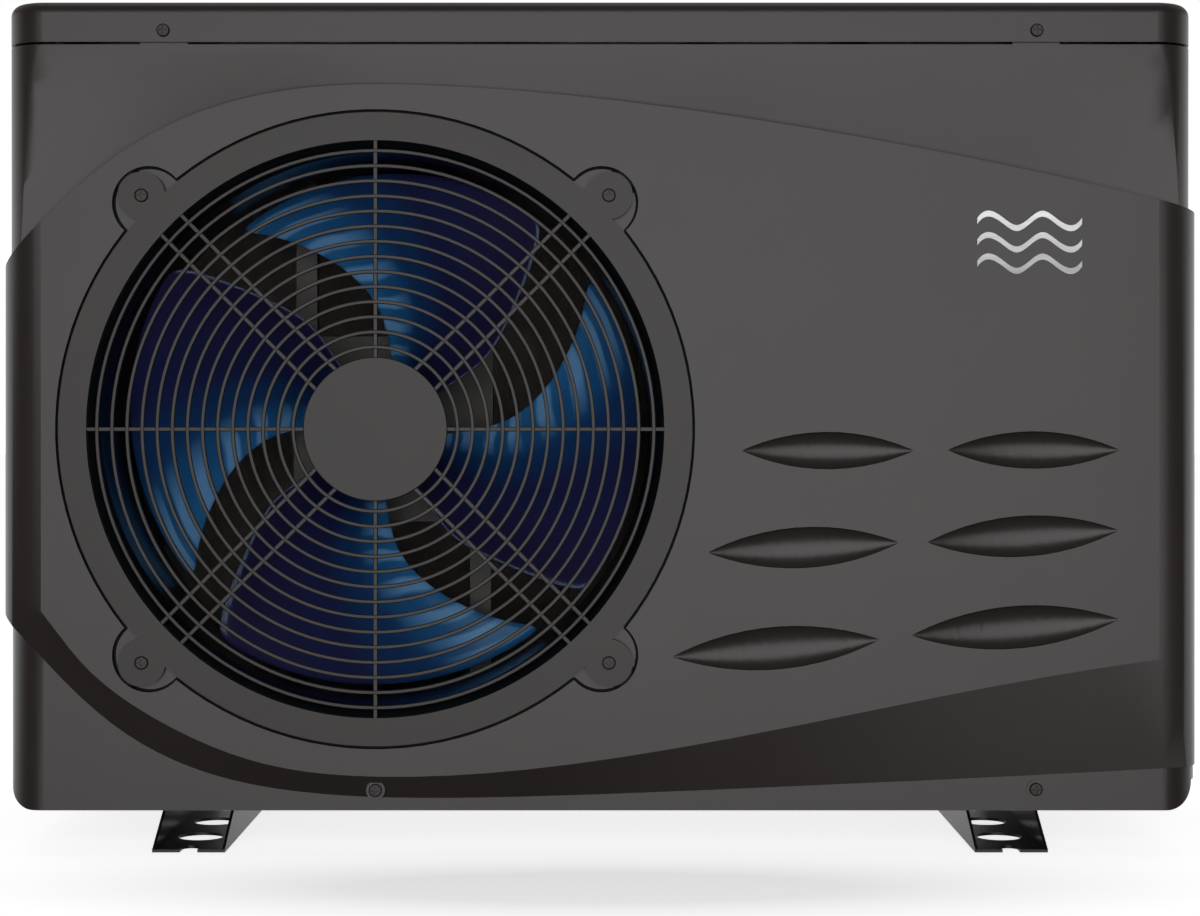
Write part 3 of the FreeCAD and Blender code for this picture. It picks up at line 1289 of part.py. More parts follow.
def terminal_block():
    """Row of screw terminals."""
    _, x1, _, y1, z0, _ = EBOX
    block = box(x1 - 44, x1 - 18, y1 - 26, y1 - 1.7, z0 + 24, z0 + 120)
    wells = [along_y(x1 - 31, z0 + 32 + i * 16, 5, y1 - 27, y1 - 16) for i in range(6)]
    return block.cut(group(wells))


def run_capacitor():
    """Motor capacitor with its clip foot."""
    _, x1, _, y1, _, z1 = EBOX
    can = along_z(x1 - 31, y1 - 26, 14, z1 - 56, z1 - 8)
    return can.makeFillet(2, [e for e in can.Edges if e.BoundBox.ZLength < 0.01])


def cable_glands():
    """Glands for the supply and pump cables."""
    glands = []
    for y, z in GLANDS:
        body = fuse([along_x(y, z, 10, HALF_WIDTH - 12, HALF_WIDTH + 12),
                     along_x(y, z, 14, HALF_WIDTH, HALF_WIDTH + 4)])
        cap = hex_bolt(HALF_WIDTH + 4, y, z, 25, 12, 0.1, (1, 0, 0))
        cap = cap.common(along_x(y, z, 13.6, HALF_WIDTH, HALF_WIDTH + OVER))
        gland = fuse([body, cap]).cut(along_x(y, z, GLAND_BORE_R, 0, UNION_END))
        nut = hex_bolt(HALF_WIDTH - WALL, y, z, 27, 5, 0.1, (-1, 0, 0))
        glands += [gland, nut.cut(along_x(y, z, 10.05, 0, UNION_END))]
    return group(glands)


# ---- gauge ----

def gauge_case():
    """Round gauge case with its stem through the side wall."""
    y, z = GAUGE
    case = along_x(y, z, GAUGE_R, HALF_WIDTH, HALF_WIDTH + 14)
    case = case.cut(along_x(y, z, GAUGE_R - 3, HALF_WIDTH + 3, HALF_WIDTH + 20))
    return fuse([case, along_x(y, z, 6.2, HALF_WIDTH - 14, HALF_WIDTH)])


def gauge_dial():
    """Dial plate with the spindle that the needle turns on."""
    y, z = GAUGE
    x = HALF_WIDTH + 3
    return fuse([along_x(y, z, GAUGE_R - 3.2, x, x + 1.5), along_x(y, z, GAUGE_PIVOT_R, x, x + 6)])


def gauge_needle():
    """Needle with a round hub; at rest it points down to the left end of the scale."""
    y, z = GAUGE
    x = HALF_WIDTH + 6
    hub = along_x(y, z, 4, x, x + 2)
    arm = polygon_prism([(x + 0.5, y - 1.6, z - 6), (x + 0.5, y + 1.6, z - 6), (x + 0.5, y + 1.2, z),
                         (x + 0.5, y + 0.4, z + NEEDLE_REACH), (x + 0.5, y - 0.4, z + NEEDLE_REACH),
                         (x + 0.5, y - 1.2, z)],
                        (1, 0, 0))
    needle = fuse([hub, arm])
    needle.rotate(V(0, y, z), V(1, 0, 0), NEEDLE_REST)
    return needle.cut(along_x(y, z, GAUGE_PIVOT_R + RUNNING, 0, UNION_END))


def gauge_lens():
    """Clear window of the gauge."""
    y, z = GAUGE
    return along_x(y, z, GAUGE_R - 3.1, HALF_WIDTH + 11, HALF_WIDTH + 12.5)


# ---- controller ----

def button_points():
    """Places of the controller's keys: y, z."""
    return [(CONTROL_Y + (i - 1) * BUTTON_STEP, CONTROL_Z - 28) for i in range(len(BUTTONS))]


def controller_bezel():
    """Housing of the controller, let into the right side, with ears for the flap's pin."""
    x = HALF_WIDTH
    body = box(x, x + 7, CONTROL_Y - CONTROL_HALF_Y, CONTROL_Y + CONTROL_HALF_Y,
               CONTROL_Z - CONTROL_HALF_Z, CONTROL_Z + CONTROL_HALF_Z)
    corners = [e for e in body.Edges if e.BoundBox.YLength < 0.01 and e.BoundBox.ZLength < 0.01]
    body = body.makeFillet(8, corners)
    rear = box(x - 16, x, CONTROL_Y - 57, CONTROL_Y + 57, CONTROL_Z - 33, CONTROL_Z + 33)
    rear = rear.cut(box(x - 18, x - 2, CONTROL_Y - 55, CONTROL_Y + 55, CONTROL_Z - 31, CONTROL_Z + 31))
    ears = []
    top = CONTROL_Z + CONTROL_HALF_Z
    for side in (-1, 1):
        y = CONTROL_Y + side * (FLAP_HALF_Y + 4)
        ears.append(box(x + 4, x + 14, y - 3, y + 3, top - 10, top))
    body = fuse([body, rear] + ears)
    cuts = [box(x + 5, x + 8, CONTROL_Y - SCREEN_HALF_Y, CONTROL_Y + SCREEN_HALF_Y,
                CONTROL_Z + SCREEN_Z[0], CONTROL_Z + SCREEN_Z[1])]
    cuts += [along_x(y, z, BUTTON_R + 0.4, x + 1, x + 8) for y, z in button_points()]
    cuts.append(along_y(x + FLAP_PIN_X, top - FLAP_PIN_DROP, FLAP_PIN_R, -UNION_END, UNION_END))
    return body.cut(group(cuts))


def controller_screen():
    """Display window."""
    x = HALF_WIDTH
    half_y = SCREEN_HALF_Y - SCREEN_GAP
    return box(x + 5, x + 6.6, CONTROL_Y - half_y, CONTROL_Y + half_y,
               CONTROL_Z + SCREEN_Z[0] + SCREEN_GAP, CONTROL_Z + SCREEN_Z[1] - SCREEN_GAP)


def button(index):
    """One key of the controller."""
    y, z = button_points()[index]
    key = along_x(y, z, BUTTON_R, HALF_WIDTH + 2.6, HALF_WIDTH + 8.6)
    return key.makeFillet(1, [e for e in key.Edges if e.CenterOfMass.x > HALF_WIDTH + 8.5])


def flap_pin():
    """Pin of the flap, held in the bezel's ears."""
    reach = FLAP_HALF_Y + 6
    return along_y(HALF_WIDTH + FLAP_PIN_X, CONTROL_Z + CONTROL_HALF_Z - FLAP_PIN_DROP, FLAP_PIN_R,
                   CONTROL_Y - reach, CONTROL_Y + reach)


def control_flap():
    """Clear flap that hangs over the controller."""
    x = HALF_WIDTH + FLAP_PIN_X
    z = CONTROL_Z + CONTROL_HALF_Z - FLAP_PIN_DROP
    y0 = CONTROL_Y - FLAP_HALF_Y
    y1 = CONTROL_Y + FLAP_HALF_Y
    bottom = CONTROL_Z - CONTROL_HALF_Z + 2
    plate = box(x - 0.8, x + 1.2, y0, y1, bottom, z)
    knuckle = along_y(x, z, 3.4, y0, y1)
    lift = box(x + 1.2, x + 4, CONTROL_Y - 14, CONTROL_Y + 14, bottom, bottom + 4)
    return fuse([plate, knuckle, lift]).cut(along_y(x, z, FLAP_PIN_R + RUNNING, -UNION_END, UNION_END))


# ---- emblem ----

def wave_edge(z, count=9):
    """Smooth wave line at a height, on the raised band's face."""
    line = Part.BSplineCurve()
    steps = [2 * i / (count - 1) - 1 for i in range(count)]
    line.interpolate([V(EMBLEM[0] + EMBLEM_HALF * step, FRONT_BAND,
                        z + EMBLEM_RISE * math.sin(2 * math.pi * (step + 1))) for step in steps])
    return line.toShape()


def wave_emblem():
    """Three plain wave lines on the raised band."""
    waves = []
    for row in (-1, 0, 1):
        middle = EMBLEM[1] + row * EMBLEM_STEP
        upper = wave_edge(middle + EMBLEM_STROKE / 2)
        lower = wave_edge(middle - EMBLEM_STROKE / 2)
        ends = [Part.makeLine(upper.Vertexes[k].Point, lower.Vertexes[k].Point) for k in (0, 1)]
        wire = Part.Wire([upper, ends[1], lower, ends[0]])
        waves.append(Part.Face(wire).extrude(V(0, -EMBLEM_T, 0)))
    return group(waves)


def make_nodes():
    """Every node by its name."""
    nodes = {
        "left_foot": foot(-FOOT_X),
        "right_foot": foot(FOOT_X),
        "hex_bolts": hex_bolts(),
        "base_tray": base_tray(),
        "drain_spout": drain_spout(),
        "front_panel": front_panel(),
        "top_cover": top_cover(),
        "left_side_panel": left_side_panel(),
        "right_side_panel": right_side_panel(),
        "rear_guard": rear_guard(),
        "rear_panel": rear_panel(),
        "side_grips": side_grips(),
        "cross_screws": cross_screws(),
        "wave_emblem": wave_emblem(),
        "fan_grille": fan_grille(),
        "fan_shroud": fan_shroud(),
        "fan": fan(),
        "fan_nut": fan_nut(),
        "motor_shaft": motor_shaft(),
        "fan_motor": fan_motor(),
        "motor_plate": motor_plate(),
        "motor_rails": motor_rails(),
        "evaporator_fins": evaporator_fins(),
        "evaporator_tubes": evaporator_tubes(),
        "evaporator_end_plates": evaporator_end_plates(),
        "partition_panel": partition_panel(),
        "compressor": compressor(),
        "compressor_mounts": compressor_mounts(),
        "terminal_cover": terminal_cover(),
        "accumulator": accumulator(),
        "exchanger_shell": exchanger_shell(),
        "exchanger_caps": exchanger_caps(),
        "exchanger_coil": exchanger_coil(),
        "straps": straps(),
        "union_bodies": union_bodies(),
        "union_seals": union_seals(),
        "union_tails": union_tails(),
        "inlet_union_nut": union_nut("inlet"),
        "outlet_union_nut": union_nut("outlet"),
        "reversing_valve": reversing_valve(),
        "valve_coil": valve_coil(),
        "expansion_valve": expansion_valve(),
        "refrigerant_pipes": refrigerant_pipes(),
        "electrical_box": electrical_box(),
        "electrical_cover": electrical_cover(),
        "circuit_board": circuit_board(),
        "terminal_block": terminal_block(),
        "cable_glands": cable_glands(),
        "gauge_case": gauge_case(),
        "gauge_dial": gauge_dial(),
        "gauge_needle": gauge_needle(),
        "gauge_lens": gauge_lens(),
        "controller_bezel": controller_bezel(),
        "controller_screen": controller_screen(),
        "flap_pin": flap_pin(),
        "control_flap": control_flap(),
        "run_capacitor": run_capacitor(),
    }
    for index, name in enumerate(BUTTONS):
        nodes[f"button_{name}"] = button(index)
    return nodes


def main():
    """Write one STEP file per node."""
    os.makedirs("parts", exist_ok=True)
    for name, shape in make_nodes().items():
        shape.exportStep(f"parts/{name}.step")


main()
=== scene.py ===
"""Pool heat pump unit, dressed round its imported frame.

Each sub-assembly is a class that builds its meshes from the frame's own places and puts its finishes on.
Sizes are in metres, +Z is up and the front faces -Y.
"""

import json
import logging
import math
from collections.abc import Callable, Iterable, Sequence
from dataclasses import dataclass
from enum import Enum

import bmesh
import bpy
from mathutils import Matrix, Vector

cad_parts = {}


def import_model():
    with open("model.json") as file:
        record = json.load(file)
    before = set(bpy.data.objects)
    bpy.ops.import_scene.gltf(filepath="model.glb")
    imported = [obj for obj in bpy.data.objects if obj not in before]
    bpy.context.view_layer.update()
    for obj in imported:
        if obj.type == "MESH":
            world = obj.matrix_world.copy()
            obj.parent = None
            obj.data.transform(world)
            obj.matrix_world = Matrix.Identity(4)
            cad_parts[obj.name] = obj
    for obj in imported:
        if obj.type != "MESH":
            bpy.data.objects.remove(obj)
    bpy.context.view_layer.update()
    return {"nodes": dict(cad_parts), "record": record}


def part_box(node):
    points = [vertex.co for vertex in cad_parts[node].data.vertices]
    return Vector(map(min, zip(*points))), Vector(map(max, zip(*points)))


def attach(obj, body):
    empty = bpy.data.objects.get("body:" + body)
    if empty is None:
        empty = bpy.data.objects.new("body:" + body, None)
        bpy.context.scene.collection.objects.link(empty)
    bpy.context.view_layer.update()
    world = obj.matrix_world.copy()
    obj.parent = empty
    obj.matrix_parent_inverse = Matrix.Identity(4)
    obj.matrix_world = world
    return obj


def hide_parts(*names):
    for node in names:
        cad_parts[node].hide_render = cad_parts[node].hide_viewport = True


log = logging.getLogger("heat_pump")

Color = tuple[float, float, float]
Piece = bpy.types.Object
MM = 0.001


# ---- modelling moves ----


class Axis(Enum):
    """Directions that round shapes are turned about."""

    X = Vector((1.0, 0.0, 0.0))
    Y = Vector((0.0, 1.0, 0.0))
    Z = Vector((0.0, 0.0, 1.0))

    def from_z(self) -> tuple[float, float, float]:
        """Rotation that lays a primitive's own Z axis along this one."""
        return tuple(self.value.to_track_quat("Z", "Y").to_euler())


def only(piece: Piece) -> None:
    """Select one piece alone and make it active.

    Args:
        piece: The object to work on.
    """
    bpy.ops.object.select_all(action="DESELECT")
    piece.select_set(True)
    bpy.context.view_layer.objects.active = piece


def start_editing(piece: Piece, kind: str) -> bmesh.types.BMesh:
    """Open a piece in edit mode with nothing selected.

    Args:
        piece: The object to edit.
        kind: What is selected next: VERT, EDGE or FACE.

    Returns:
        The mesh being edited.
    """
    only(piece)
    bpy.ops.object.mode_set(mode="EDIT")
    bpy.ops.mesh.select_mode(type=kind)
    bpy.ops.mesh.select_all(action="DESELECT")
    return bmesh.from_edit_mesh(piece.data)


def stop_editing() -> None:
    """Go back to object mode."""
    bpy.ops.object.mode_set(mode="OBJECT")


def pick_faces(piece: Piece, wanted: Callable[[Vector, Vector], bool]) -> None:
    """Open a piece in edit mode and select faces.

    Args:
        piece: The object to edit.
        wanted: Says from a face's centre and normal whether it is taken.
    """
    mesh = start_editing(piece, "FACE")
    for face in mesh.faces:
        face.select_set(wanted(face.calc_center_median(), face.normal))
    bmesh.update_edit_mesh(piece.data)


def pick_edges(piece: Piece, wanted: Callable[[bmesh.types.BMEdge], bool]) -> None:
    """Open a piece in edit mode and select edges.

    Args:
        piece: The object to edit.
        wanted: Says whether an edge is taken.
    """
    mesh = start_editing(piece, "EDGE")
    for edge in mesh.edges:
        edge.select_set(wanted(edge))
    bmesh.update_edit_mesh(piece.data)


def new_piece(name: str) -> Piece:
    """Name the primitive just added and bake its place into its mesh.

    Args:
        name: Name of the piece.

    Returns:
        The piece, with its object at the origin.
    """
    piece = bpy.context.view_layer.objects.active
    piece.name = name
    piece.data.name = name
    only(piece)
    bpy.ops.object.transform_apply(location=True, rotation=True, scale=True)
    return piece


def block(name: str, low: Vector, high: Vector) -> Piece:
    """Box between two corners.

    Args:
        name: Name of the piece.
        low: Lowest corner.
        high: Highest corner.

    Returns:
        The box.
    """
    bpy.ops.mesh.primitive_cube_add(size=1, location=(low + high) / 2)
    bpy.context.view_layer.objects.active.scale = high - low
    return new_piece(name)


def cylinder(name: str, start: Vector, length: float, radius: float, axis: Axis, sides: int) -> Piece:
    """Cylinder from a point, along an axis.

    Args:
        name: Name of the piece.
        start: Middle of the end it starts from.
        length: Length along the axis.
        radius: Radius.
        axis: Direction it runs in.
        sides: Number of flats round it.

    Returns:
        The cylinder.
    """
    middle = start + axis.value * (length / 2)
    bpy.ops.mesh.primitive_cylinder_add(
        vertices=sides, radius=radius, depth=length, location=middle, rotation=axis.from_z()
    )
    return new_piece(name)


def flat_ring(name: str, centre: Vector, inner: float, outer: float, depth: float, axis: Axis, sides: int) -> Piece:
    """Ring of square section, made from a circle that is drawn outwards and then along its axis.

    Args:
        name: Name of the piece.
        centre: Middle of the ring's first face.
        inner: Inner radius.
        outer: Outer radius.
        depth: Length along the axis.
        axis: Direction that the depth runs in.
        sides: Number of flats round it.

    Returns:
        The ring.
    """
    bpy.ops.mesh.primitive_circle_add(vertices=sides, radius=inner, location=centre, rotation=axis.from_z())
    piece = new_piece(name)
    pick_edges(piece, lambda edge: True)
    bpy.ops.mesh.extrude_edges_move()
    grow = outer / inner
    bpy.ops.transform.resize(value=(grow, grow, grow), center_override=centre)
    bpy.ops.mesh.select_all(action="SELECT")
    move = {"value": axis.value * depth}
    bpy.ops.mesh.extrude_region_move(TRANSFORM_OT_translate=move)
    bpy.ops.mesh.select_all(action="SELECT")
    bpy.ops.mesh.normals_make_consistent(inside=False)
    stop_editing()
    return piece


def modify(piece: Piece, kind: str, **settings: object) -> Piece:
    """Put one modifier on a piece and apply it.

    Args:
        piece: The object it goes on.
        kind: The modifier's type.
        settings: The modifier's own settings.

    Returns:
        The same piece.
    """
    only(piece)
    modifier = piece.modifiers.new(kind.lower(), kind)
    for key, value in settings.items():
        setattr(modifier, key, value)
    bpy.ops.object.modifier_apply(modifier=modifier.name)
    return piece


def soften(piece: Piece, width: float, segments: int = 2, angle: float = 35.0) -> Piece:
    """Round a piece's hard edges and shade it smooth.

    Args:
        piece: The object.
        width: Width of the rounding.
        segments: Steps across it.
        angle: Edges sharper than this many degrees are rounded.

    Returns:
        The same piece.
    """
    modify(
        piece, "BEVEL", width=width, segments=segments, limit_method="ANGLE", angle_limit=math.radians(angle),
        use_clamp_overlap=True, harden_normals=True, miter_outer="MITER_ARC",
    )
    return piece


def shade(piece: Piece, angle: float = 35.0) -> Piece:
    """Shade smooth, with a crease where faces meet at more than an angle.

    Args:
        piece: The object.
        angle: Largest smooth angle, in degrees.

    Returns:
        The same piece.
    """
    only(piece)
    bpy.ops.object.shade_smooth_by_angle(angle=math.radians(angle))
    return piece


def combine(piece: Piece, others: Iterable[Piece], operation: str) -> Piece:
    """Add other pieces to one, or cut them out of it, and remove them.

    Args:
        piece: The object that stays.
        others: The pieces used on it.
        operation: UNION or DIFFERENCE.

    Returns:
        The first piece.
    """
    for other in others:
        modify(piece, "BOOLEAN", object=other, operation=operation, solver="EXACT")
        bpy.data.objects.remove(other)
    return piece


def copied(piece: Piece, change: Matrix) -> Piece:
    """Copy of a piece with its own mesh, moved by a matrix.

    Args:
        piece: The object to copy.
        change: How the copy's mesh is moved.

    Returns:
        The copy.
    """
    twin = piece.copy()
    twin.data = piece.data.copy()
    twin.data.transform(change)
    bpy.context.scene.collection.objects.link(twin)
    return twin


def joined(pieces: Sequence[Piece], name: str) -> Piece:
    """Make one object of several.

    Args:
        pieces: The objects.
        name: Name of the result.

    Returns:
        The joined object.
    """
    only(pieces[0])
    for piece in pieces:
        piece.select_set(True)
    bpy.ops.object.join()
    pieces[0].name = name
    pieces[0].data.name = name
    return pieces[0]


def turned(angle: float, axis: Axis, centre: Vector) -> Matrix:
    """Rotation about a line through a point.

    Args:
        angle: Angle in degrees.
        axis: Direction of the line.
        centre: The point.

    Returns:
        The matrix.
    """
    turn = Matrix.Rotation(math.radians(angle), 4, axis.value)
    return Matrix.Translation(centre) @ turn @ Matrix.Translation(-centre)


def copy_of_node(node: str, name: str) -> Piece:
    """Merged copy of a frame node's mesh, ready to be worked on.

    Args:
        node: The node.
        name: Name of the copy.

    Returns:
        The copy.
    """
    source = bpy.data.objects[node]
    piece = bpy.data.objects.new(name, source.data.copy())
    piece.data.name = name
    bpy.context.scene.collection.objects.link(piece)
    start_editing(piece, "VERT")
    bpy.ops.mesh.select_all(action="SELECT")
    bpy.ops.mesh.remove_doubles(threshold=0.01 * MM)
    stop_editing()
    crease(piece)
    start_editing(piece, "FACE")
    bpy.ops.mesh.select_all(action="SELECT")
    bpy.ops.mesh.dissolve_limited(angle_limit=math.radians(0.2), delimit={"SHARP"})
    stop_editing()
    bpy.ops.object.shade_smooth(keep_sharp_edges=True)
    return piece


def crease(piece: Piece) -> None:
    """Mark as sharp each edge where the faces at its sides carry different normals, then drop those normals.

    Args:
        piece: A merged copy of a frame node.
    """
    mesh = piece.data
    normals = [normal.vector.copy() for normal in mesh.corner_normals]
    ends: dict[tuple[int, int], Vector] = {}
    for face in mesh.polygons:
        for corner in face.loop_indices:
            ends[(face.index, mesh.loops[corner].vertex_index)] = normals[corner]
    sides: dict[int, list[int]] = {}
    for face in mesh.polygons:
        for corner in face.loop_indices:
            sides.setdefault(mesh.loops[corner].edge_index, []).append(face.index)
    same = math.cos(math.radians(1.5))
    for edge in mesh.edges:
        faces = sides.get(edge.index, [])
        pairs = [[ends[(face, vertex)] for face in faces] for vertex in edge.vertices]
        edge.use_edge_sharp = len(faces) != 2 or any(a.dot(b) < same for a, b in pairs)
    only(piece)
    bpy.ops.mesh.customdata_custom_splitnormals_clear()


# ---- finishes ----


class Sheet:
    """Node sheet of one material, with short ways to add and join nodes."""

    def __init__(self, name: str) -> None:
        """Start an empty sheet.

        Args:
            name: Name of the material.
        """
        self.material = bpy.data.materials.new(name)
        self.material.use_nodes = True
        self.tree = self.material.node_tree
        self.tree.nodes.clear()
        self.surface = self.add("ShaderNodeBsdfPrincipled")
        output = self.add("ShaderNodeOutputMaterial")
        self.join(self.surface, "BSDF", output, "Surface")

    def add(self, kind: str, **values: object) -> bpy.types.Node:
        """Add a node.

        Args:
            kind: The node's type.
            values: Inputs to set, with _ for a space in their names.

        Returns:
            The node.
        """
        node = self.tree.nodes.new(kind)
        for key, value in values.items():
            node.inputs[key.replace("_", " ")].default_value = value
        return node

    def join(self, source: bpy.types.Node, output: str | int, target: bpy.types.Node, socket: str | int) -> None:
        """Join an output to an input.

        Args:
            source: Node that gives.
            output: Its output, by name or by number.
            target: Node that takes.
            socket: Its input, by name or by number.
        """
        self.tree.links.new(source.outputs[output], target.inputs[socket])

    def noise(self, scale: float, detail: float, stretch: Color = (1.0, 1.0, 1.0)) -> bpy.types.Node:
        """Noise laid through the object's own space.

        Args:
            scale: Lumps per metre.
            detail: Number of finer layers.
            stretch: Scale along each axis.

        Returns:
            The noise node.
        """
        place = self.add("ShaderNodeTexCoord")
        mapping = self.add("ShaderNodeMapping", Scale=stretch)
        noise = self.add("ShaderNodeTexNoise", Scale=scale, Detail=detail, Roughness=0.55)
        self.join(place, "Object", mapping, "Vector")
        self.join(mapping, "Vector", noise, "Vector")
        return noise

    def ramp(self, stops: Sequence[tuple[float, Color]]) -> bpy.types.Node:
        """Colour ramp.

        Args:
            stops: Places from 0 to 1 with their colours.

        Returns:
            The ramp node.
        """
        ramp = self.add("ShaderNodeValToRGB")
        elements = ramp.color_ramp.elements
        while len(elements) < len(stops):
            elements.new(0.5)
        for element, (place, color) in zip(elements, stops):
            element.position = place
            element.color = (*color, 1.0)
        return ramp

    def spread(self, source: bpy.types.Node, output: str, low: float, high: float, socket: str) -> None:
        """Spread a 0.3 to 0.7 pattern over a range and give it to the surface.

        Args:
            source: Node with the pattern.
            output: Its output.
            low: Value at the low end.
            high: Value at the high end.
            socket: The surface's input.
        """
        spread = self.add("ShaderNodeMapRange", From_Min=0.3, From_Max=0.7, To_Min=low, To_Max=high)
        self.join(source, output, spread, "Value")
        self.join(spread, "Result", self.surface, socket)

    def bump(self, source: bpy.types.Node, output: str, depth: float, strength: float = 1.0) -> None:
        """Raise the surface by a pattern.

        Args:
            source: Node with the pattern.
            output: Its output.
            depth: Height of the pattern in metres.
            strength: Share of the effect.
        """
        bump = self.add("ShaderNodeBump", Distance=depth, Strength=strength)
        self.join(source, output, bump, "Height")
        self.join(bump, "Normal", self.surface, "Normal")


@dataclass(frozen=True)
class Grained:
    """Moulded plastic, paint or metal: close shades of one colour, uneven gloss and a fine grain."""

    name: str
    color: Color
    roughness: float
    metallic: float = 0.0
    specular: float = 0.5
    shade: float = 0.12
    gloss_spread: float = 0.06
    cloud: float = 9.0
    grain: float = 1500.0
    depth: float = 0.03 * MM
    stretch: Color = (1.0, 1.0, 1.0)
    coat: float = 0.0
    transmission: float = 0.0
    anisotropic: float = 0.0

    def material(self) -> bpy.types.Material:
        """Build the material.

        Returns:
            The material.
        """
        sheet = Sheet(self.name)
        settings = {
            "Metallic": self.metallic, "Specular IOR Level": self.specular, "Coat Weight": self.coat,
            "Coat Roughness": 0.08, "Transmission Weight": self.transmission, "Anisotropic": self.anisotropic,
        }
        for key, value in settings.items():
            sheet.surface.inputs[key].default_value = value
        cloud = sheet.noise(self.cloud, 3.0, self.stretch)
        low = tuple(c * (1 - self.shade) for c in self.color)
        high = tuple(c * (1 + self.shade) for c in self.color)
        ramp = sheet.ramp([(0.3, low), (0.7, high)])
        sheet.join(cloud, "Fac", ramp, "Fac")
        sheet.join(ramp, "Color", sheet.surface, "Base Color")
        grain = sheet.noise(self.grain, 2.0, self.stretch)
        half = self.gloss_spread / 2
        sheet.spread(grain, "Fac", self.roughness - half, self.roughness + half, "Roughness")
        sheet.bump(grain, "Fac", self.depth)
        return sheet.material


@dataclass(frozen=True)
class BladeLacquerPaintedSheen:
    """Glossy blue blade plastic, indigo at the trailing edge; the brighter blue towards the leading edge is painted
    highlight, and the pale bands there are painted reflections of the grille's rings.
    """

    name: str
    # chord ramp: the plastic's own indigo, brightening to painted highlight blue towards the leading edge
    stops: tuple[tuple[float, Color], ...] = (
        (0.0, (0.022, 0.018, 0.070)),
        (0.42, (0.018, 0.022, 0.095)),
        (0.62, (0.012, 0.050, 0.170)),
        (0.80, (0.016, 0.110, 0.300)),
        (1.0, (0.026, 0.160, 0.390)),
    )
    roughness: float = 0.17
    reflection_band_tint: Color = (0.150, 0.360, 0.680)
    reflection_band_scale: float = 2.6
    reflection_band_from: float = 0.70
    reflection_band_to: float = 0.86

    def material(self) -> bpy.types.Material:
        """Build the material.

        Returns:
            The material.
        """
        sheet = Sheet(self.name)
        surface = sheet.surface.inputs
        surface["Specular Tint"].default_value = (0.55, 0.78, 1.0, 1.0)
        place = sheet.add("ShaderNodeUVMap")
        split = sheet.add("ShaderNodeSeparateXYZ")
        ramp = sheet.ramp(self.stops)
        ramp.color_ramp.interpolation = "EASE"
        sheet.join(place, "UV", split, "Vector")
        sheet.join(split, "Y", ramp, "Fac")
        # painted reflection: pale bands of the grille's rings laid over the leading edge
        ring_reflection = sheet.add("ShaderNodeTexWave", Scale=self.reflection_band_scale, Distortion=2.5, Detail=1.0)
        reflection_zone = sheet.add("ShaderNodeMapRange", From_Min=self.reflection_band_from, From_Max=self.reflection_band_to)
        reflection_bands = sheet.ramp([(0.45, (0.0, 0.0, 0.0)), (0.80, (1.0, 1.0, 1.0))])
        share = sheet.add("ShaderNodeMath")
        share.operation = "MULTIPLY"
        tint = sheet.add("ShaderNodeMix")
        tint.data_type = "RGBA"
        first_color, second_color, result_color = 6, 7, 2
        tint.inputs[second_color].default_value = (*self.reflection_band_tint, 1.0)
        sheet.join(place, "UV", ring_reflection, "Vector")
        sheet.join(ring_reflection, "Color", reflection_bands, "Fac")
        sheet.join(split, "Y", reflection_zone, "Value")
        sheet.join(reflection_bands, "Color", share, 0)
        sheet.join(reflection_zone, "Result", share, 1)
        sheet.join(share, "Value", tint, "Factor")
        sheet.join(ramp, "Color", tint, first_color)
        sheet.join(tint, result_color, sheet.surface, "Base Color")
        ripple = sheet.noise(7.0, 1.0)
        half = 0.02
        sheet.spread(ripple, "Fac", self.roughness - half, self.roughness + half, "Roughness")
        sheet.bump(ripple, "Fac", 0.8 * MM, 0.25)
        return sheet.material


@dataclass(frozen=True)
class BrushedMark:
    """Silver foil of the emblem, darker towards its lower edge."""

    name: str
    light: Color = (0.72, 0.72, 0.73)
    dark: Color = (0.30, 0.30, 0.31)
    low: float = 0.485
    high: float = 0.550

    def material(self) -> bpy.types.Material:
        """Build the material.

        Returns:
            The material.
        """
        sheet = Sheet(self.name)
        sheet.surface.inputs["Metallic"].default_value = 0.55
        place = sheet.add("ShaderNodeTexCoord")
        split = sheet.add("ShaderNodeSeparateXYZ")
        span = sheet.add("ShaderNodeMapRange", From_Min=self.low, From_Max=self.high)
        ramp = sheet.ramp([(0.0, self.dark), (1.0, self.light)])
        sheet.join(place, "Object", split, "Vector")
        sheet.join(split, "Z", span, "Value")
        sheet.join(span, "Result", ramp, "Fac")
        sheet.join(ramp, "Color", sheet.surface, "Base Color")
        brush = sheet.noise(900.0, 2.0, (0.05, 1.0, 1.0))
        sheet.spread(brush, "Fac", 0.30, 0.42, "Roughness")
        sheet.bump(brush, "Fac", 0.01 * MM)
        return sheet.material


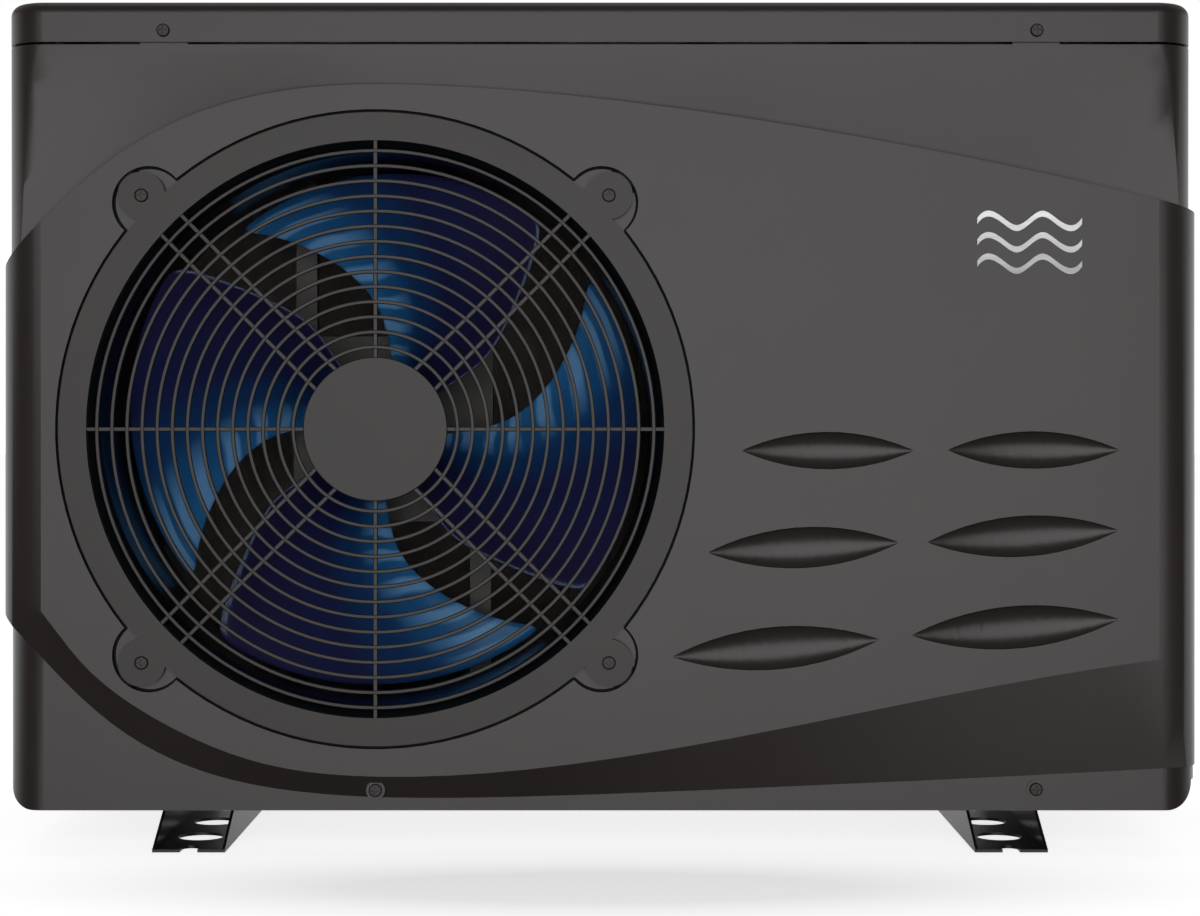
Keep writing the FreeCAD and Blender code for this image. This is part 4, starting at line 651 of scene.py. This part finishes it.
CASING = Grained("casing_moulding", (0.038, 0.031, 0.029), 0.33, depth=0.035 * MM, grain=1400, shade=0.08)
GRILLE = Grained("grille_moulding", (0.022, 0.017, 0.015), 0.40, depth=0.03 * MM, grain=1600, shade=0.08)
FRAME_PAINT = Grained("rail_paint", (0.034, 0.029, 0.024), 0.46, shade=0.15, grain=1200)
FINISHES = {
    "casing_plastic": CASING,
    "grille_plastic": GRILLE,
    "shroud_plastic": Grained("shroud_satin", (0.006, 0.007, 0.009), 0.24, depth=0.004 * MM),
    "blue_fan": BladeLacquerPaintedSheen("blade_lacquer_painted_sheen"),
    "black_steel": Grained("black_powder_coat", (0.010, 0.010, 0.010), 0.38, grain=2200, depth=0.04 * MM),
    "galvanised_steel": Grained(
        "galvanised_sheet", (0.36, 0.37, 0.38), 0.38, metallic=0.9, shade=0.25, cloud=60, gloss_spread=0.2
    ),
    "fastener_steel": Grained("dark_plating", (0.030, 0.027, 0.026), 0.34, metallic=0.6, shade=0.2, cloud=300),
    "black_paint": Grained("black_enamel", (0.014, 0.014, 0.015), 0.32, coat=0.3),
    "fin_aluminium": Grained("coated_fin", (0.46, 0.42, 0.38), 0.42, metallic=0.2, shade=0.2, cloud=40),
    "copper": Grained("copper_tube", (0.62, 0.27, 0.15), 0.32, metallic=1.0, shade=0.3, cloud=45, gloss_spread=0.2),
    "valve_brass": Grained("valve_brass", (0.56, 0.38, 0.14), 0.30, metallic=1.0, shade=0.2, cloud=80),
    "titanium": Grained("titanium_tube", (0.36, 0.33, 0.31), 0.30, metallic=1.0, shade=0.2, cloud=40),
    "pipe_plastic": Grained("pipe_plastic", (0.10, 0.105, 0.11), 0.34, grain=900),
    "nut_plastic": Grained("nut_plastic", (0.020, 0.020, 0.022), 0.36, grain=1200),
    "seal_rubber": Grained("seal_rubber", (0.012, 0.012, 0.012), 0.72, grain=1800),
    "fitting_plastic": Grained("fitting_plastic", (0.022, 0.022, 0.024), 0.42, grain=1500),
    "board": Grained("circuit_board", (0.012, 0.090, 0.035), 0.35, shade=0.3, cloud=90, coat=0.4),
    "capacitor_can": Grained("capacitor_can", (0.62, 0.63, 0.65), 0.30, metallic=1.0, cloud=90),
    "screen": Grained("screen_glass", (0.010, 0.016, 0.022), 0.08, coat=1.0, depth=0.002 * MM),
    "clear_plastic": Grained(
        "clear_moulding", (0.90, 0.93, 0.95), 0.05, transmission=1.0, shade=0.02, gloss_spread=0.02, depth=0.002 * MM
    ),
    "gauge_steel": Grained("gauge_steel", (0.52, 0.52, 0.53), 0.26, metallic=1.0, cloud=120, anisotropic=0.4),
    "dial_white": Grained("dial_white", (0.78, 0.78, 0.76), 0.50, shade=0.03),
    "needle_black": Grained("marking_black", (0.015, 0.015, 0.015), 0.45),
    "key_plastic": Grained("key_plastic", (0.16, 0.17, 0.18), 0.45, grain=1500),
    "emblem_silver": BrushedMark("emblem_foil"),
}


# ---- studio ----


@dataclass(frozen=True)
class Softbox:
    """One square light that faces a point."""

    name: str
    place: Color
    aim: Color
    width: float
    height: float
    radiance: float

    def build(self) -> None:
        """Add the light. Its power gives its face the stated brightness."""
        data = bpy.data.lights.new(self.name, "AREA")
        data.shape = "RECTANGLE"
        data.size = self.width
        data.size_y = self.height
        data.energy = self.radiance * math.pi * self.width * self.height
        lamp = bpy.data.objects.new(self.name, data)
        lamp.location = self.place
        way = Vector(self.aim) - Vector(self.place)
        lamp.rotation_euler = way.to_track_quat("-Z", "Y").to_euler()
        lamp.visible_camera = False
        bpy.context.scene.collection.objects.link(lamp)


@dataclass
class Studio:
    """Camera, pale floor with a painted shadow, soft lights and the bright surround."""

    camera_place: Color = (0.0, -2.210, 0.3618)
    lens: float = 71.4
    shift_y: float = -0.0258
    floor_size: float = 60.0
    painted_shadow_centre: Color = (0.0, -0.34, 0.0)
    painted_shadow_size: Color = (0.66, 0.20, 1.0)
    lights: tuple[Softbox, ...] = (
        Softbox("front_softbox", (0.0, -4.6, 0.66), (0.0, 0.0, 0.40), 4.6, 3.5, 2.2),
        Softbox("top_softbox", (0.0, 0.2, 3.2), (0.0, 0.0, 0.4), 2.4, 1.6, 0.5),
    )

    def build(self) -> None:
        """Set up the whole studio."""
        self.build_camera()
        self.build_floor()
        self.build_surround()
        for light in self.lights:
            light.build()
        bpy.context.scene.view_settings.view_transform = "Standard"

    def build_camera(self) -> None:
        """Camera square to the front."""
        data = bpy.data.cameras.new("camera")
        data.sensor_width = 36.0
        data.lens = self.lens
        data.shift_y = self.shift_y
        camera = bpy.data.objects.new("camera", data)
        camera.location = self.camera_place
        camera.rotation_euler = (math.radians(90), 0.0, 0.0)
        bpy.context.scene.collection.objects.link(camera)
        bpy.context.scene.camera = camera

    def build_floor(self) -> None:
        """Pale floor that the camera sees and that throws no light back, with a painted soft shadow darkening its
        glow just in front of the unit.
        """
        bpy.ops.mesh.primitive_plane_add(size=self.floor_size)
        floor = new_piece("studio_floor")
        floor.visible_diffuse = False
        floor.visible_glossy = False
        floor.visible_shadow = False
        sheet = Sheet("studio_paper")
        place = sheet.add("ShaderNodeTexCoord")
        shift = tuple(-middle / side for middle, side in zip(self.painted_shadow_centre, self.painted_shadow_size))
        mapping = sheet.add("ShaderNodeMapping", Location=shift, Scale=tuple(1 / side for side in self.painted_shadow_size))
        # painted shadow: a soft darker ellipse in the floor's glow in front of the unit
        painted_shadow_pool = sheet.add("ShaderNodeTexGradient")
        painted_shadow_pool.gradient_type = "QUADRATIC_SPHERE"
        ramp = sheet.ramp([(0.0, (1.0, 1.0, 1.0)), (0.5, (0.72, 0.72, 0.72))])
        sheet.join(place, "Object", mapping, "Vector")
        sheet.join(mapping, "Vector", painted_shadow_pool, "Vector")
        sheet.join(painted_shadow_pool, "Fac", ramp, "Fac")
        sheet.join(ramp, "Color", sheet.surface, "Emission Color")
        surface = sheet.surface.inputs
        surface["Base Color"].default_value = (0.9, 0.9, 0.9, 1.0)
        surface["Roughness"].default_value = 0.9
        surface["Specular IOR Level"].default_value = 0.0
        surface["Emission Strength"].default_value = 0.82
        floor.data.materials.append(sheet.material)

    def build_surround(self) -> None:
        """White surround, bright behind the unit and dim in front of it and below."""
        world = bpy.data.worlds.new("surround")
        world.use_nodes = True
        bpy.context.scene.world = world
        tree = world.node_tree
        nodes = tree.nodes
        nodes.clear()
        place = nodes.new("ShaderNodeTexCoord")
        split = nodes.new("ShaderNodeSeparateXYZ")
        tree.links.new(place.outputs["Generated"], split.inputs["Vector"])
        behind = self.world_range(tree, split.outputs["Y"], -0.40, 0.40, 0.05, 1.30)
        above = self.world_range(tree, split.outputs["Z"], -0.185, -0.15, 0.04, 1.0)
        below = self.world_range(tree, split.outputs["Z"], 0.06, 0.35, 1.0, 0.22)
        amount = self.world_math(tree, "MULTIPLY", behind, above)
        amount = self.world_math(tree, "MULTIPLY", amount, below)
        path = nodes.new("ShaderNodeLightPath")
        seen = self.world_math(tree, "MAXIMUM", amount, path.outputs["Is Camera Ray"])
        light = nodes.new("ShaderNodeBackground")
        light.inputs["Color"].default_value = (1.0, 1.0, 1.0, 1.0)
        output = nodes.new("ShaderNodeOutputWorld")
        tree.links.new(seen, light.inputs["Strength"])
        tree.links.new(light.outputs["Background"], output.inputs["Surface"])

    @staticmethod
    def world_range(
        tree: bpy.types.NodeTree, source: bpy.types.NodeSocket, start: float, end: float, low: float, high: float
    ) -> bpy.types.NodeSocket:
        """Smooth step of a direction's component.

        Args:
            tree: The world's nodes.
            source: The component.
            start: Where the step starts.
            end: Where it ends.
            low: Value before it.
            high: Value after it.

        Returns:
            The result's socket.
        """
        node = tree.nodes.new("ShaderNodeMapRange")
        node.interpolation_type = "SMOOTHSTEP"
        for key, value in (("From Min", start), ("From Max", end), ("To Min", low), ("To Max", high)):
            node.inputs[key].default_value = value
        tree.links.new(source, node.inputs["Value"])
        return node.outputs["Result"]

    @staticmethod
    def world_math(
        tree: bpy.types.NodeTree, operation: str, first: bpy.types.NodeSocket, second: bpy.types.NodeSocket
    ) -> bpy.types.NodeSocket:
        """Sum, product or larger of two values.

        Args:
            tree: The world's nodes.
            operation: The operation's name.
            first: One value.
            second: The other value.

        Returns:
            The result's socket.
        """
        node = tree.nodes.new("ShaderNodeMath")
        node.operation = operation
        tree.links.new(first, node.inputs[0])
        tree.links.new(second, node.inputs[1])
        return node.outputs["Value"]


# ---- sub-assemblies ----


class Workshop:
    """Materials by slot, and how a finished piece joins the frame."""

    def __init__(self, record: dict, nodes: dict[str, Piece]) -> None:
        """Make the materials and dress every node of the frame.

        Args:
            record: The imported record.
            nodes: The frame's objects by node name.
        """
        self.materials = {slot: finish.material() for slot, finish in FINISHES.items()}
        self.rail_paint = FRAME_PAINT.material()
        for subpart in record["subparts"]:
            self.paint(nodes[subpart["node"]], self.materials[subpart["material_slot"]])
        for name in ("motor_rails", "motor_plate"):
            self.paint(nodes[name], self.rail_paint)

    @staticmethod
    def paint(piece: Piece, material: bpy.types.Material) -> None:
        """Give a piece one material.

        Args:
            piece: The object.
            material: The material.
        """
        piece.data.materials.clear()
        piece.data.materials.append(material)

    def fit(self, piece: Piece, body: str, slot: str, *nodes: str) -> Piece:
        """Dress a finished piece and put it on its body.

        Args:
            piece: The object.
            body: Body it moves with.
            slot: Material slot it takes its finish from.
            nodes: Frame nodes that it stands for.

        Returns:
            The same piece.
        """
        self.paint(piece, self.materials[slot])
        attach(piece, body)
        if nodes:
            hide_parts(*nodes)
        log.info("%s rides on %s, %d faces", piece.name, body, len(piece.data.polygons))
        return piece


@dataclass
class Casing:
    """Moulded shells, steel feet and other parts whose hard edges are eased."""

    shop: Workshop
    shell_edge: float = 0.6 * MM
    seam_lift: float = 1.6 * MM
    shadow_strip_width: float = 3.4 * MM
    shadow_strip_depth: float = 0.8 * MM
    pocket_share: float = 1.12
    fitting_edge: float = 0.5 * MM
    steel_edge: float = 0.6 * MM

    def build(self) -> None:
        """Ease every outer part."""
        shells = ("front_panel", "top_cover", "left_side_panel", "right_side_panel", "rear_panel")
        for node in shells:
            self.ease(node, f"{node}_moulding", "root", "casing_plastic", self.shell_edge)
        self.lift_lid_rim()
        # painted shade: black strip that darkens the groove round the grille
        self.shop.fit(self.grille_gasket(), "root", "seal_rubber")
        for node in ("side_grips", "rear_guard"):
            self.ease(node, f"{node}_moulding", "root", "grille_plastic", self.fitting_edge)
        for node in ("left_foot", "right_foot"):
            self.ease(node, f"{node}_channel", "root", "black_steel", self.steel_edge)

    def lift_lid_rim(self) -> None:
        """Draw the lid's lower rim up a little, for the shadow line of the seam."""
        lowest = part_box("top_cover")[0].z
        lid = bpy.data.objects["top_cover_moulding"]
        pick_edges(lid, lambda edge: max(vertex.co.z for vertex in edge.verts) < lowest + 2 * MM)
        bpy.ops.transform.translate(value=(0, 0, self.seam_lift))
        stop_editing()

    def grille_gasket(self) -> Piece:
        """Painted shade: a black strip laid in the groove round the grille, where the groove is only in shadow,
        drawn from the floor of the panel's pocket.
        """
        low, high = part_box("fan_grille")
        middle = (low + high) / 2
        reach = self.pocket_share * (high.x - low.x) / 2
        panel = bpy.data.objects["front_panel_moulding"]

        def is_floor(centre: Vector, normal: Vector) -> bool:
            """Whether a face is part of the pocket's floor."""
            inside = math.hypot(centre.x - middle.x, centre.z - middle.z) < reach
            return inside and normal.y < -0.9 and abs(centre.y - high.y) < 0.2 * MM

        pick_faces(panel, is_floor)
        bpy.ops.mesh.duplicate()
        bpy.ops.mesh.separate(type="SELECTED")
        stop_editing()
        shadow_strip = next(piece for piece in bpy.context.selected_objects if piece is not panel)
        shadow_strip.name = shadow_strip.data.name = "grille_gasket"
        start_editing(shadow_strip, "FACE")
        bpy.ops.mesh.select_all(action="SELECT")
        bpy.ops.mesh.inset(thickness=self.shadow_strip_width, use_even_offset=True)
        bpy.ops.mesh.delete(type="FACE")
        stop_editing()
        return modify(shadow_strip, "SOLIDIFY", thickness=self.shadow_strip_depth, offset=1.0)

    def ease(self, node: str, name: str, body: str, slot: str, width: float) -> Piece:
        """Replace a node by a copy with rounded edges.

        Args:
            node: The frame node.
            name: Name of the piece.
            body: Body it moves with.
            slot: Its material slot.
            width: Width of the rounding.

        Returns:
            The piece.
        """
        piece = soften(copy_of_node(node, name), width)
        return self.shop.fit(piece, body, slot, node)


@dataclass
class Grille:
    """Round guard in front of the fan: lobed rim, rings, spokes and a hub disc."""

    shop: Workshop
    centre: Vector
    front: float
    rim_radius: float = 266.5 * MM
    rim_depth: float = 6.0 * MM
    opening: float = 243.0 * MM
    lobe_radius: float = 20.0 * MM
    lobe_reach: float = 196.5 * MM
    lobe_fillet: float = 7.0 * MM
    seat_radius: float = 6.1 * MM
    seat_depth: float = 1.5 * MM
    hub_radius: float = 60.6 * MM
    ring_first: float = 69.1 * MM
    ring_pitch: float = 12.71 * MM
    ring_count: int = 14
    ring_width: float = 3.3 * MM
    ring_depth: float = 3.4 * MM
    spoke_width: float = 3.8 * MM
    spoke_depth: float = 3.9 * MM
    pair_spacing: float = 23.5 * MM

    def at(self, x: float, y: float, z: float) -> Vector:
        """Point given from the fan's axis and the grille's front face."""
        return Vector((self.centre.x + x, self.front + y, self.centre.z + z))

    def lobe_points(self) -> list[tuple[float, float]]:
        """Places of the four screw lobes from the fan's axis."""
        return [(sx * self.lobe_reach, sz * self.lobe_reach) for sx in (-1, 1) for sz in (-1, 1)]

    def build(self) -> None:
        """Model the rim and the bars."""
        self.shop.fit(self.rim(), "root", "grille_plastic", "fan_grille")
        bars = [self.ring(self.ring_first + i * self.ring_pitch) for i in range(self.ring_count)]
        bars += self.spokes() + [self.hub()]
        self.shop.fit(joined(bars, "grille_bars"), "root", "grille_plastic", "fan_grille")

    def rim(self) -> Piece:
        """Outer plate with four lobes and a sunk seat for each screw."""
        sides = 192
        small = 48
        start = self.at(0, 0, 0)
        plate = cylinder("grille_rim", start, self.rim_depth, self.rim_radius, Axis.Y, sides)
        lobes = [cylinder("lobe", self.at(x, 0, z), self.rim_depth, self.lobe_radius, Axis.Y, small)
                 for x, z in self.lobe_points()]
        combine(plate, lobes, "UNION")
        pick_edges(plate, self.is_inner_corner)
        bpy.ops.mesh.bevel(offset=self.lobe_fillet, segments=6, profile=0.5)
        stop_editing()
        cutters = [cylinder("opening", self.at(0, -MM, 0), self.rim_depth + 2 * MM, self.opening, Axis.Y, sides)]
        cutters += [cylinder("seat", self.at(x, -MM, z), MM + self.seat_depth, self.seat_radius, Axis.Y, small)
                    for x, z in self.lobe_points()]
        combine(plate, cutters, "DIFFERENCE")
        return soften(shade(plate), 0.7 * MM)

    @staticmethod
    def is_inner_corner(edge: bmesh.types.BMEdge) -> bool:
        """Whether an edge is one of the notches between a lobe and the rim."""
        way = edge.verts[1].co - edge.verts[0].co
        if abs(way.x) + abs(way.z) > 0.01 * MM:
            return False
        return edge.calc_face_angle_signed(0.0) < -math.radians(20)

    def ring(self, radius: float) -> Piece:
        """One ring with a rounded section.

        Args:
            radius: Middle radius of the ring.

        Returns:
            The ring.
        """
        half = self.ring_width / 2
        start = self.at(0, MM, 0)
        ring = flat_ring("ring", start, radius - half, radius + half, self.ring_depth, Axis.Y, 120)
        return soften(shade(ring), 0.8 * MM, 2)

    def spokes(self) -> list[Piece]:
        """Four single spokes and four pairs between them."""
        half = self.spoke_width / 2
        reach = self.opening + 2 * MM
        y0 = 1.6 * MM
        y1 = y0 + self.spoke_depth
        single = soften(shade(block("spoke", self.at(0.0, y0, -half), self.at(reach, y1, half))), 0.8 * MM, 2)
        centre = self.at(0, 0, 0)
        shift = [Matrix.Translation((0, 0, side * self.pair_spacing / 2)) for side in (-1, 1)]
        spokes = []
        for quarter in range(4):
            spokes.append(copied(single, turned(90 * quarter, Axis.Y, centre)))
            diagonal = turned(90 * quarter + 45, Axis.Y, centre)
            spokes += [copied(single, diagonal @ move) for move in shift]
        bpy.data.objects.remove(single)
        return spokes

    def hub(self) -> Piece:
        """Flat disc over the fan's hub, with an eased edge and a dished back."""
        depth = 5 * MM
        disc = cylinder("hub_disc", self.at(0, 0, 0), depth, self.hub_radius, Axis.Y, 96)
        pick_faces(disc, lambda centre, normal: normal.y > 0.9)
        bpy.ops.mesh.inset(thickness=4 * MM)
        bpy.ops.mesh.extrude_region_move(TRANSFORM_OT_translate={"value": (0, -2 * MM, 0)})
        stop_editing()
        return soften(shade(disc), 0.9 * MM, 3)


@dataclass
class FanWheel:
    """Axial fan: four swept blades on a cup hub."""

    shop: Workshop
    centre: Vector
    hub_radius: float = 50.0 * MM
    hub_front: float = -165.0 * MM
    hub_back: float = -65.0 * MM
    camber: float = 7.0 * MM
    thickness: float = 3.4 * MM
    chord_steps: int = 12
    # radius, angle of the trailing and of the leading edge, y of the same two edges
    sections: tuple[tuple[float, float, float, float, float], ...] = (
        (48.0, -58.0, -5.0, -160.0, -78.0),
        (62.0, -58.0, -3.0, -161.0, -78.0),
        (89.0, -58.0, 1.5, -163.0, -80.0),
        (114.0, -57.0, 5.0, -165.0, -82.0),
        (151.0, -49.0, 15.5, -167.0, -76.0),
        (189.0, -43.5, 27.0, -168.0, -65.0),
        (212.0, -40.5, 34.0, -168.5, -59.0),
        (226.5, -38.0, 38.0, -169.0, -55.0),
    )

    def build(self) -> None:
        """Model the blades and the hub."""
        first = self.blade()
        blades = [copied(first, turned(90 * i, Axis.Y, self.centre)) for i in range(1, 4)]
        wheel = joined([first, *blades], "fan_blades")
        self.shop.fit(wheel, "fan_rotor", "blue_fan", "fan")
        self.shop.fit(self.hub(), "fan_rotor", "blue_fan", "fan")

    def point(self, row: int, share: float) -> Vector:
        """Point of the blade's front face.

        Args:
            row: Which section.
            share: Way from the trailing edge, 0, to the leading edge, 1.

        Returns:
            The point.
        """
        radius, trail, lead, y_trail, y_lead = self.sections[row]
        angle = math.radians(trail + (lead - trail) * share)
        y = y_trail * MM + (y_lead - y_trail) * MM * share + self.camber * math.sin(math.pi * share**2)
        across = Vector((math.cos(angle), 0.0, math.sin(angle))) * (radius * MM)
        return Vector((self.centre.x, y, self.centre.z)) + across

    def blade(self) -> Piece:
        """One blade: a grid laid over the sections, thickened and smoothed."""
        rows = len(self.sections) - 1
        bpy.ops.mesh.primitive_grid_add(x_subdivisions=rows, y_subdivisions=self.chord_steps, size=1)
        blade = new_piece("blade")
        for vertex in blade.data.vertices:
            row = round((vertex.co.x + 0.5) * rows)
            vertex.co = self.point(row, vertex.co.y + 0.5)
        start_editing(blade, "FACE")
        bpy.ops.mesh.select_all(action="SELECT")
        bpy.ops.mesh.normals_make_consistent(inside=False)
        stop_editing()
        modify(blade, "SOLIDIFY", thickness=self.thickness, offset=0.0, use_even_offset=True)
        modify(blade, "SUBSURF", levels=2, render_levels=2)
        return shade(blade, 60)

    def hub(self) -> Piece:
        """Cup hub with a stepped front."""
        start = Vector((self.centre.x, self.hub_front, self.centre.z))
        length = self.hub_back - self.hub_front
        hub = cylinder("fan_hub", start, length, self.hub_radius, Axis.Y, 96)
        pick_faces(hub, lambda centre, normal: normal.y < -0.9)
        bpy.ops.mesh.inset(thickness=9 * MM)
        bpy.ops.mesh.extrude_region_move(TRANSFORM_OT_translate={"value": (0, 5 * MM, 0)})
        bpy.ops.mesh.inset(thickness=20 * MM)
        bpy.ops.mesh.extrude_region_move(TRANSFORM_OT_translate={"value": (0, -4 * MM, 0)})
        stop_editing()
        pick_faces(hub, lambda centre, normal: normal.y > 0.9)
        bpy.ops.mesh.inset(thickness=4 * MM)
        bpy.ops.mesh.extrude_region_move(TRANSFORM_OT_translate={"value": (0, -length + 14 * MM, 0)})
        stop_editing()
        return soften(shade(hub), 2.5 * MM, 3)


@dataclass
class Coil:
    """Evaporator fins: close wavy plates across the rear and the left side."""

    shop: Workshop
    pitch: float = 2.6 * MM
    wave: float = 2.4 * MM
    folds: int = 4
    sheet: float = 0.2 * MM
    corner_turn: float = 3.5

    def build(self) -> None:
        """Fill the two banks that the frame's coarse fins mark."""
        low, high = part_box("evaporator_fins")
        rear_low = Vector((low.x + 62 * MM, high.y - 36 * MM, low.z))
        rear = self.bank(rear_low, Vector((high.x, high.y, high.z)), Axis.X)
        left_high = Vector((low.x + 36 * MM, high.y - 62 * MM, high.z))
        left = self.bank(Vector((low.x, low.y, low.z)), left_high, Axis.Y)
        bend = self.corner(rear_low, high)
        self.shop.fit(joined([rear, left, bend], "coil_fins"), "root", "fin_aluminium", "evaporator_fins")

    def corner(self, low: Vector, high: Vector) -> Piece:
        """Fins round the bend between the two banks, spread like the leaves of a book.

        Args:
            low: Lowest corner of the rear bank.
            high: Highest corner of the rear bank.

        Returns:
            The fins as one object.
        """
        pivot = Vector((low.x, high.y - 62 * MM, low.z))
        first = self.fin(low, high, Axis.X)
        turns = [self.corner_turn * i for i in range(1, int(90 / self.corner_turn))]
        return joined([first, *[copied(first, turned(turn, Axis.Z, pivot)) for turn in turns]], "corner")

    def bank(self, low: Vector, high: Vector, along: Axis) -> Piece:
        """One bank of fins.

        Args:
            low: Lowest corner of the bank.
            high: Highest corner.
            along: Direction that the fins repeat in.

        Returns:
            The fins as one object.
        """
        first = self.fin(low, high, along)
        length = (high - low).dot(along.value)
        count = int(length / self.pitch)
        fins = [copied(first, Matrix.Translation(along.value * (i * self.pitch))) for i in range(1, count)]
        return joined([first, *fins], "bank")

    def fin(self, low: Vector, high: Vector, along: Axis) -> Piece:
        """One wavy plate at the low end of a bank.

        Args:
            low: Lowest corner of the bank.
            high: Highest corner.
            along: Direction that the fins repeat in.

        Returns:
            The fin.
        """
        depth_axis = Axis.Y if along is Axis.X else Axis.X
        first = low.dot(depth_axis.value)
        depth = high.dot(depth_axis.value) - first
        fin = block("fin", low, high - along.value * ((high - low).dot(along.value) - self.sheet))
        for fold in range(1, self.folds):
            start_editing(fin, "FACE")
            bpy.ops.mesh.select_all(action="SELECT")
            cut = depth_axis.value * (first + depth * fold / self.folds)
            bpy.ops.mesh.bisect(plane_co=cut, plane_no=depth_axis.value)
            stop_editing()
        for vertex in fin.data.vertices:
            place = round((vertex.co.dot(depth_axis.value) - first) / depth * self.folds)
            vertex.co += along.value * (self.wave * (place % 2))
        return shade(fin, 20)


@dataclass
class SideFittings:
    """What stands on the right side: unions, glands, gauge and controller."""

    shop: Workshop
    digit_height: float = 16.0 * MM
    digit_width: float = 8.5 * MM
    stroke: float = 1.6 * MM
    tick_count: int = 28
    tick_turn: float = 10.0

    def build(self) -> None:
        """Ease the fittings and add the dial's and the display's markings."""
        casing = Casing(self.shop)
        for node in ("inlet_union_nut", "outlet_union_nut"):
            body = "inlet_nut" if node.startswith("inlet") else "outlet_nut"
            casing.ease(node, f"{node}_ribbed", body, "nut_plastic", 1.1 * MM)
        eased = (
            ("union_bodies", "pipe_plastic"), ("union_tails", "pipe_plastic"), ("cable_glands", "fitting_plastic"),
            ("gauge_case", "gauge_steel"), ("controller_bezel", "grille_plastic"),
        )
        for node, slot in eased:
            casing.ease(node, f"{node}_eased", "root", slot, 0.7 * MM)
        self.shop.fit(self.dial_marks(), "root", "needle_black")
        self.shop.fit(self.digits(), "root", "dial_white")
        for name, corners in (("up", 3), ("down", 3), ("power", 24)):
            self.shop.fit(self.key_mark(name, corners), f"{name}_key", "dial_white")

    def dial_marks(self) -> Piece:
        """Ticks round the dial, longer at every seventh."""
        low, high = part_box("gauge_dial")
        plate = 4.5 * MM
        face = low.x + 1.5 * MM
        centre = Vector((face, (low.y + high.y) / 2, (low.z + high.z) / 2))
        radius = (high.z - low.z) / 2 - 3 * MM
        marks = []
        for i in range(self.tick_count):
            long = plate if i % 7 else 2 * plate
            half = 0.35 * MM if i % 7 else 0.7 * MM
            inner = centre + Vector((0, -half, radius - long))
            outer = centre + Vector((0.35 * MM, half, radius))
            mark = soften(shade(block("tick", inner, outer)), 0.12 * MM, 1)
            turn = (i - (self.tick_count - 1) / 2) * self.tick_turn
            marks.append(copied(mark, turned(turn, Axis.X, centre)))
            bpy.data.objects.remove(mark)
        return joined(marks, "dial_marks")

    def digits(self) -> Piece:
        """Two seven-stroke figures on the display, 28."""
        low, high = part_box("controller_screen")
        middle = (low + high) / 2
        face = high.x
        strokes = {"2": "abged", "8": "abcdefg"}
        bars = []
        for index, figure in enumerate("28"):
            centre = Vector((face, middle.y + (index - 0.5) * 1.9 * self.digit_width, middle.z))
            bars += [self.stroke_bar(centre, name) for name in strokes[figure]]
        return joined(bars, "display_figures")

    def stroke_bar(self, centre: Vector, name: str) -> Piece:
        """One stroke of a figure.

        Args:
            centre: Middle of the figure.
            name: Stroke letter, from a at the top, clockwise, to g in the middle.

        Returns:
            The bar.
        """
        half_w = self.digit_width / 2
        half_h = self.digit_height / 2
        places = {
            "a": (0, half_h), "b": (half_w, half_h / 2), "c": (half_w, -half_h / 2), "d": (0, -half_h),
            "e": (-half_w, -half_h / 2), "f": (-half_w, half_h / 2), "g": (0, 0),
        }
        y, z = places[name]
        flat = name in "adg"
        long = (half_w if flat else half_h / 2) - 0.6 * MM
        size = Vector((0, long, self.stroke / 2)) if flat else Vector((0, self.stroke / 2, long))
        spot = centre + Vector((0, y, z))
        return soften(shade(block("stroke", spot - size, spot + size + Vector((0.25 * MM, 0, 0)))), 0.5 * MM, 2)

    def key_mark(self, name: str, corners: int) -> Piece:
        """Raised mark on a key: a triangle that points up or down, or a ring.

        Args:
            name: Which key.
            corners: Corners of the mark.

        Returns:
            The mark.
        """
        low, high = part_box(f"button_{name}")
        centre = Vector((high.x, (low.y + high.y) / 2, (low.z + high.z) / 2))
        raise_by = 0.3 * MM
        radius = 2.8 * MM
        if corners > 3:
            mark = flat_ring(f"{name}_mark", centre, radius * 0.7, radius, raise_by, Axis.X, corners)
        else:
            mark = cylinder(f"{name}_mark", centre, raise_by, radius, Axis.X, corners)
            tip = max(mark.data.vertices, key=lambda v: (v.co - centre).z).co - centre
            turn = math.degrees(math.atan2(tip.y, tip.z)) + (180 if name == "down" else 0)
            mark.data.transform(turned(turn, Axis.X, centre))
        return soften(shade(mark), 0.12 * MM, 1)


def main() -> None:
    """Load the frame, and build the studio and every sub-assembly."""
    logging.basicConfig(level=logging.INFO, format="%(name)s: %(message)s")
    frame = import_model()
    Studio().build()
    shop = Workshop(frame["record"], frame["nodes"])
    low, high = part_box("motor_shaft")
    axis = Vector(((low.x + high.x) / 2, 0.0, (low.z + high.z) / 2))
    Casing(shop).build()
    Grille(shop, axis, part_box("fan_grille")[0].y).build()
    FanWheel(shop, axis).build()
    Coil(shop).build()
    SideFittings(shop).build()


if __name__ == "__main__":
    main()
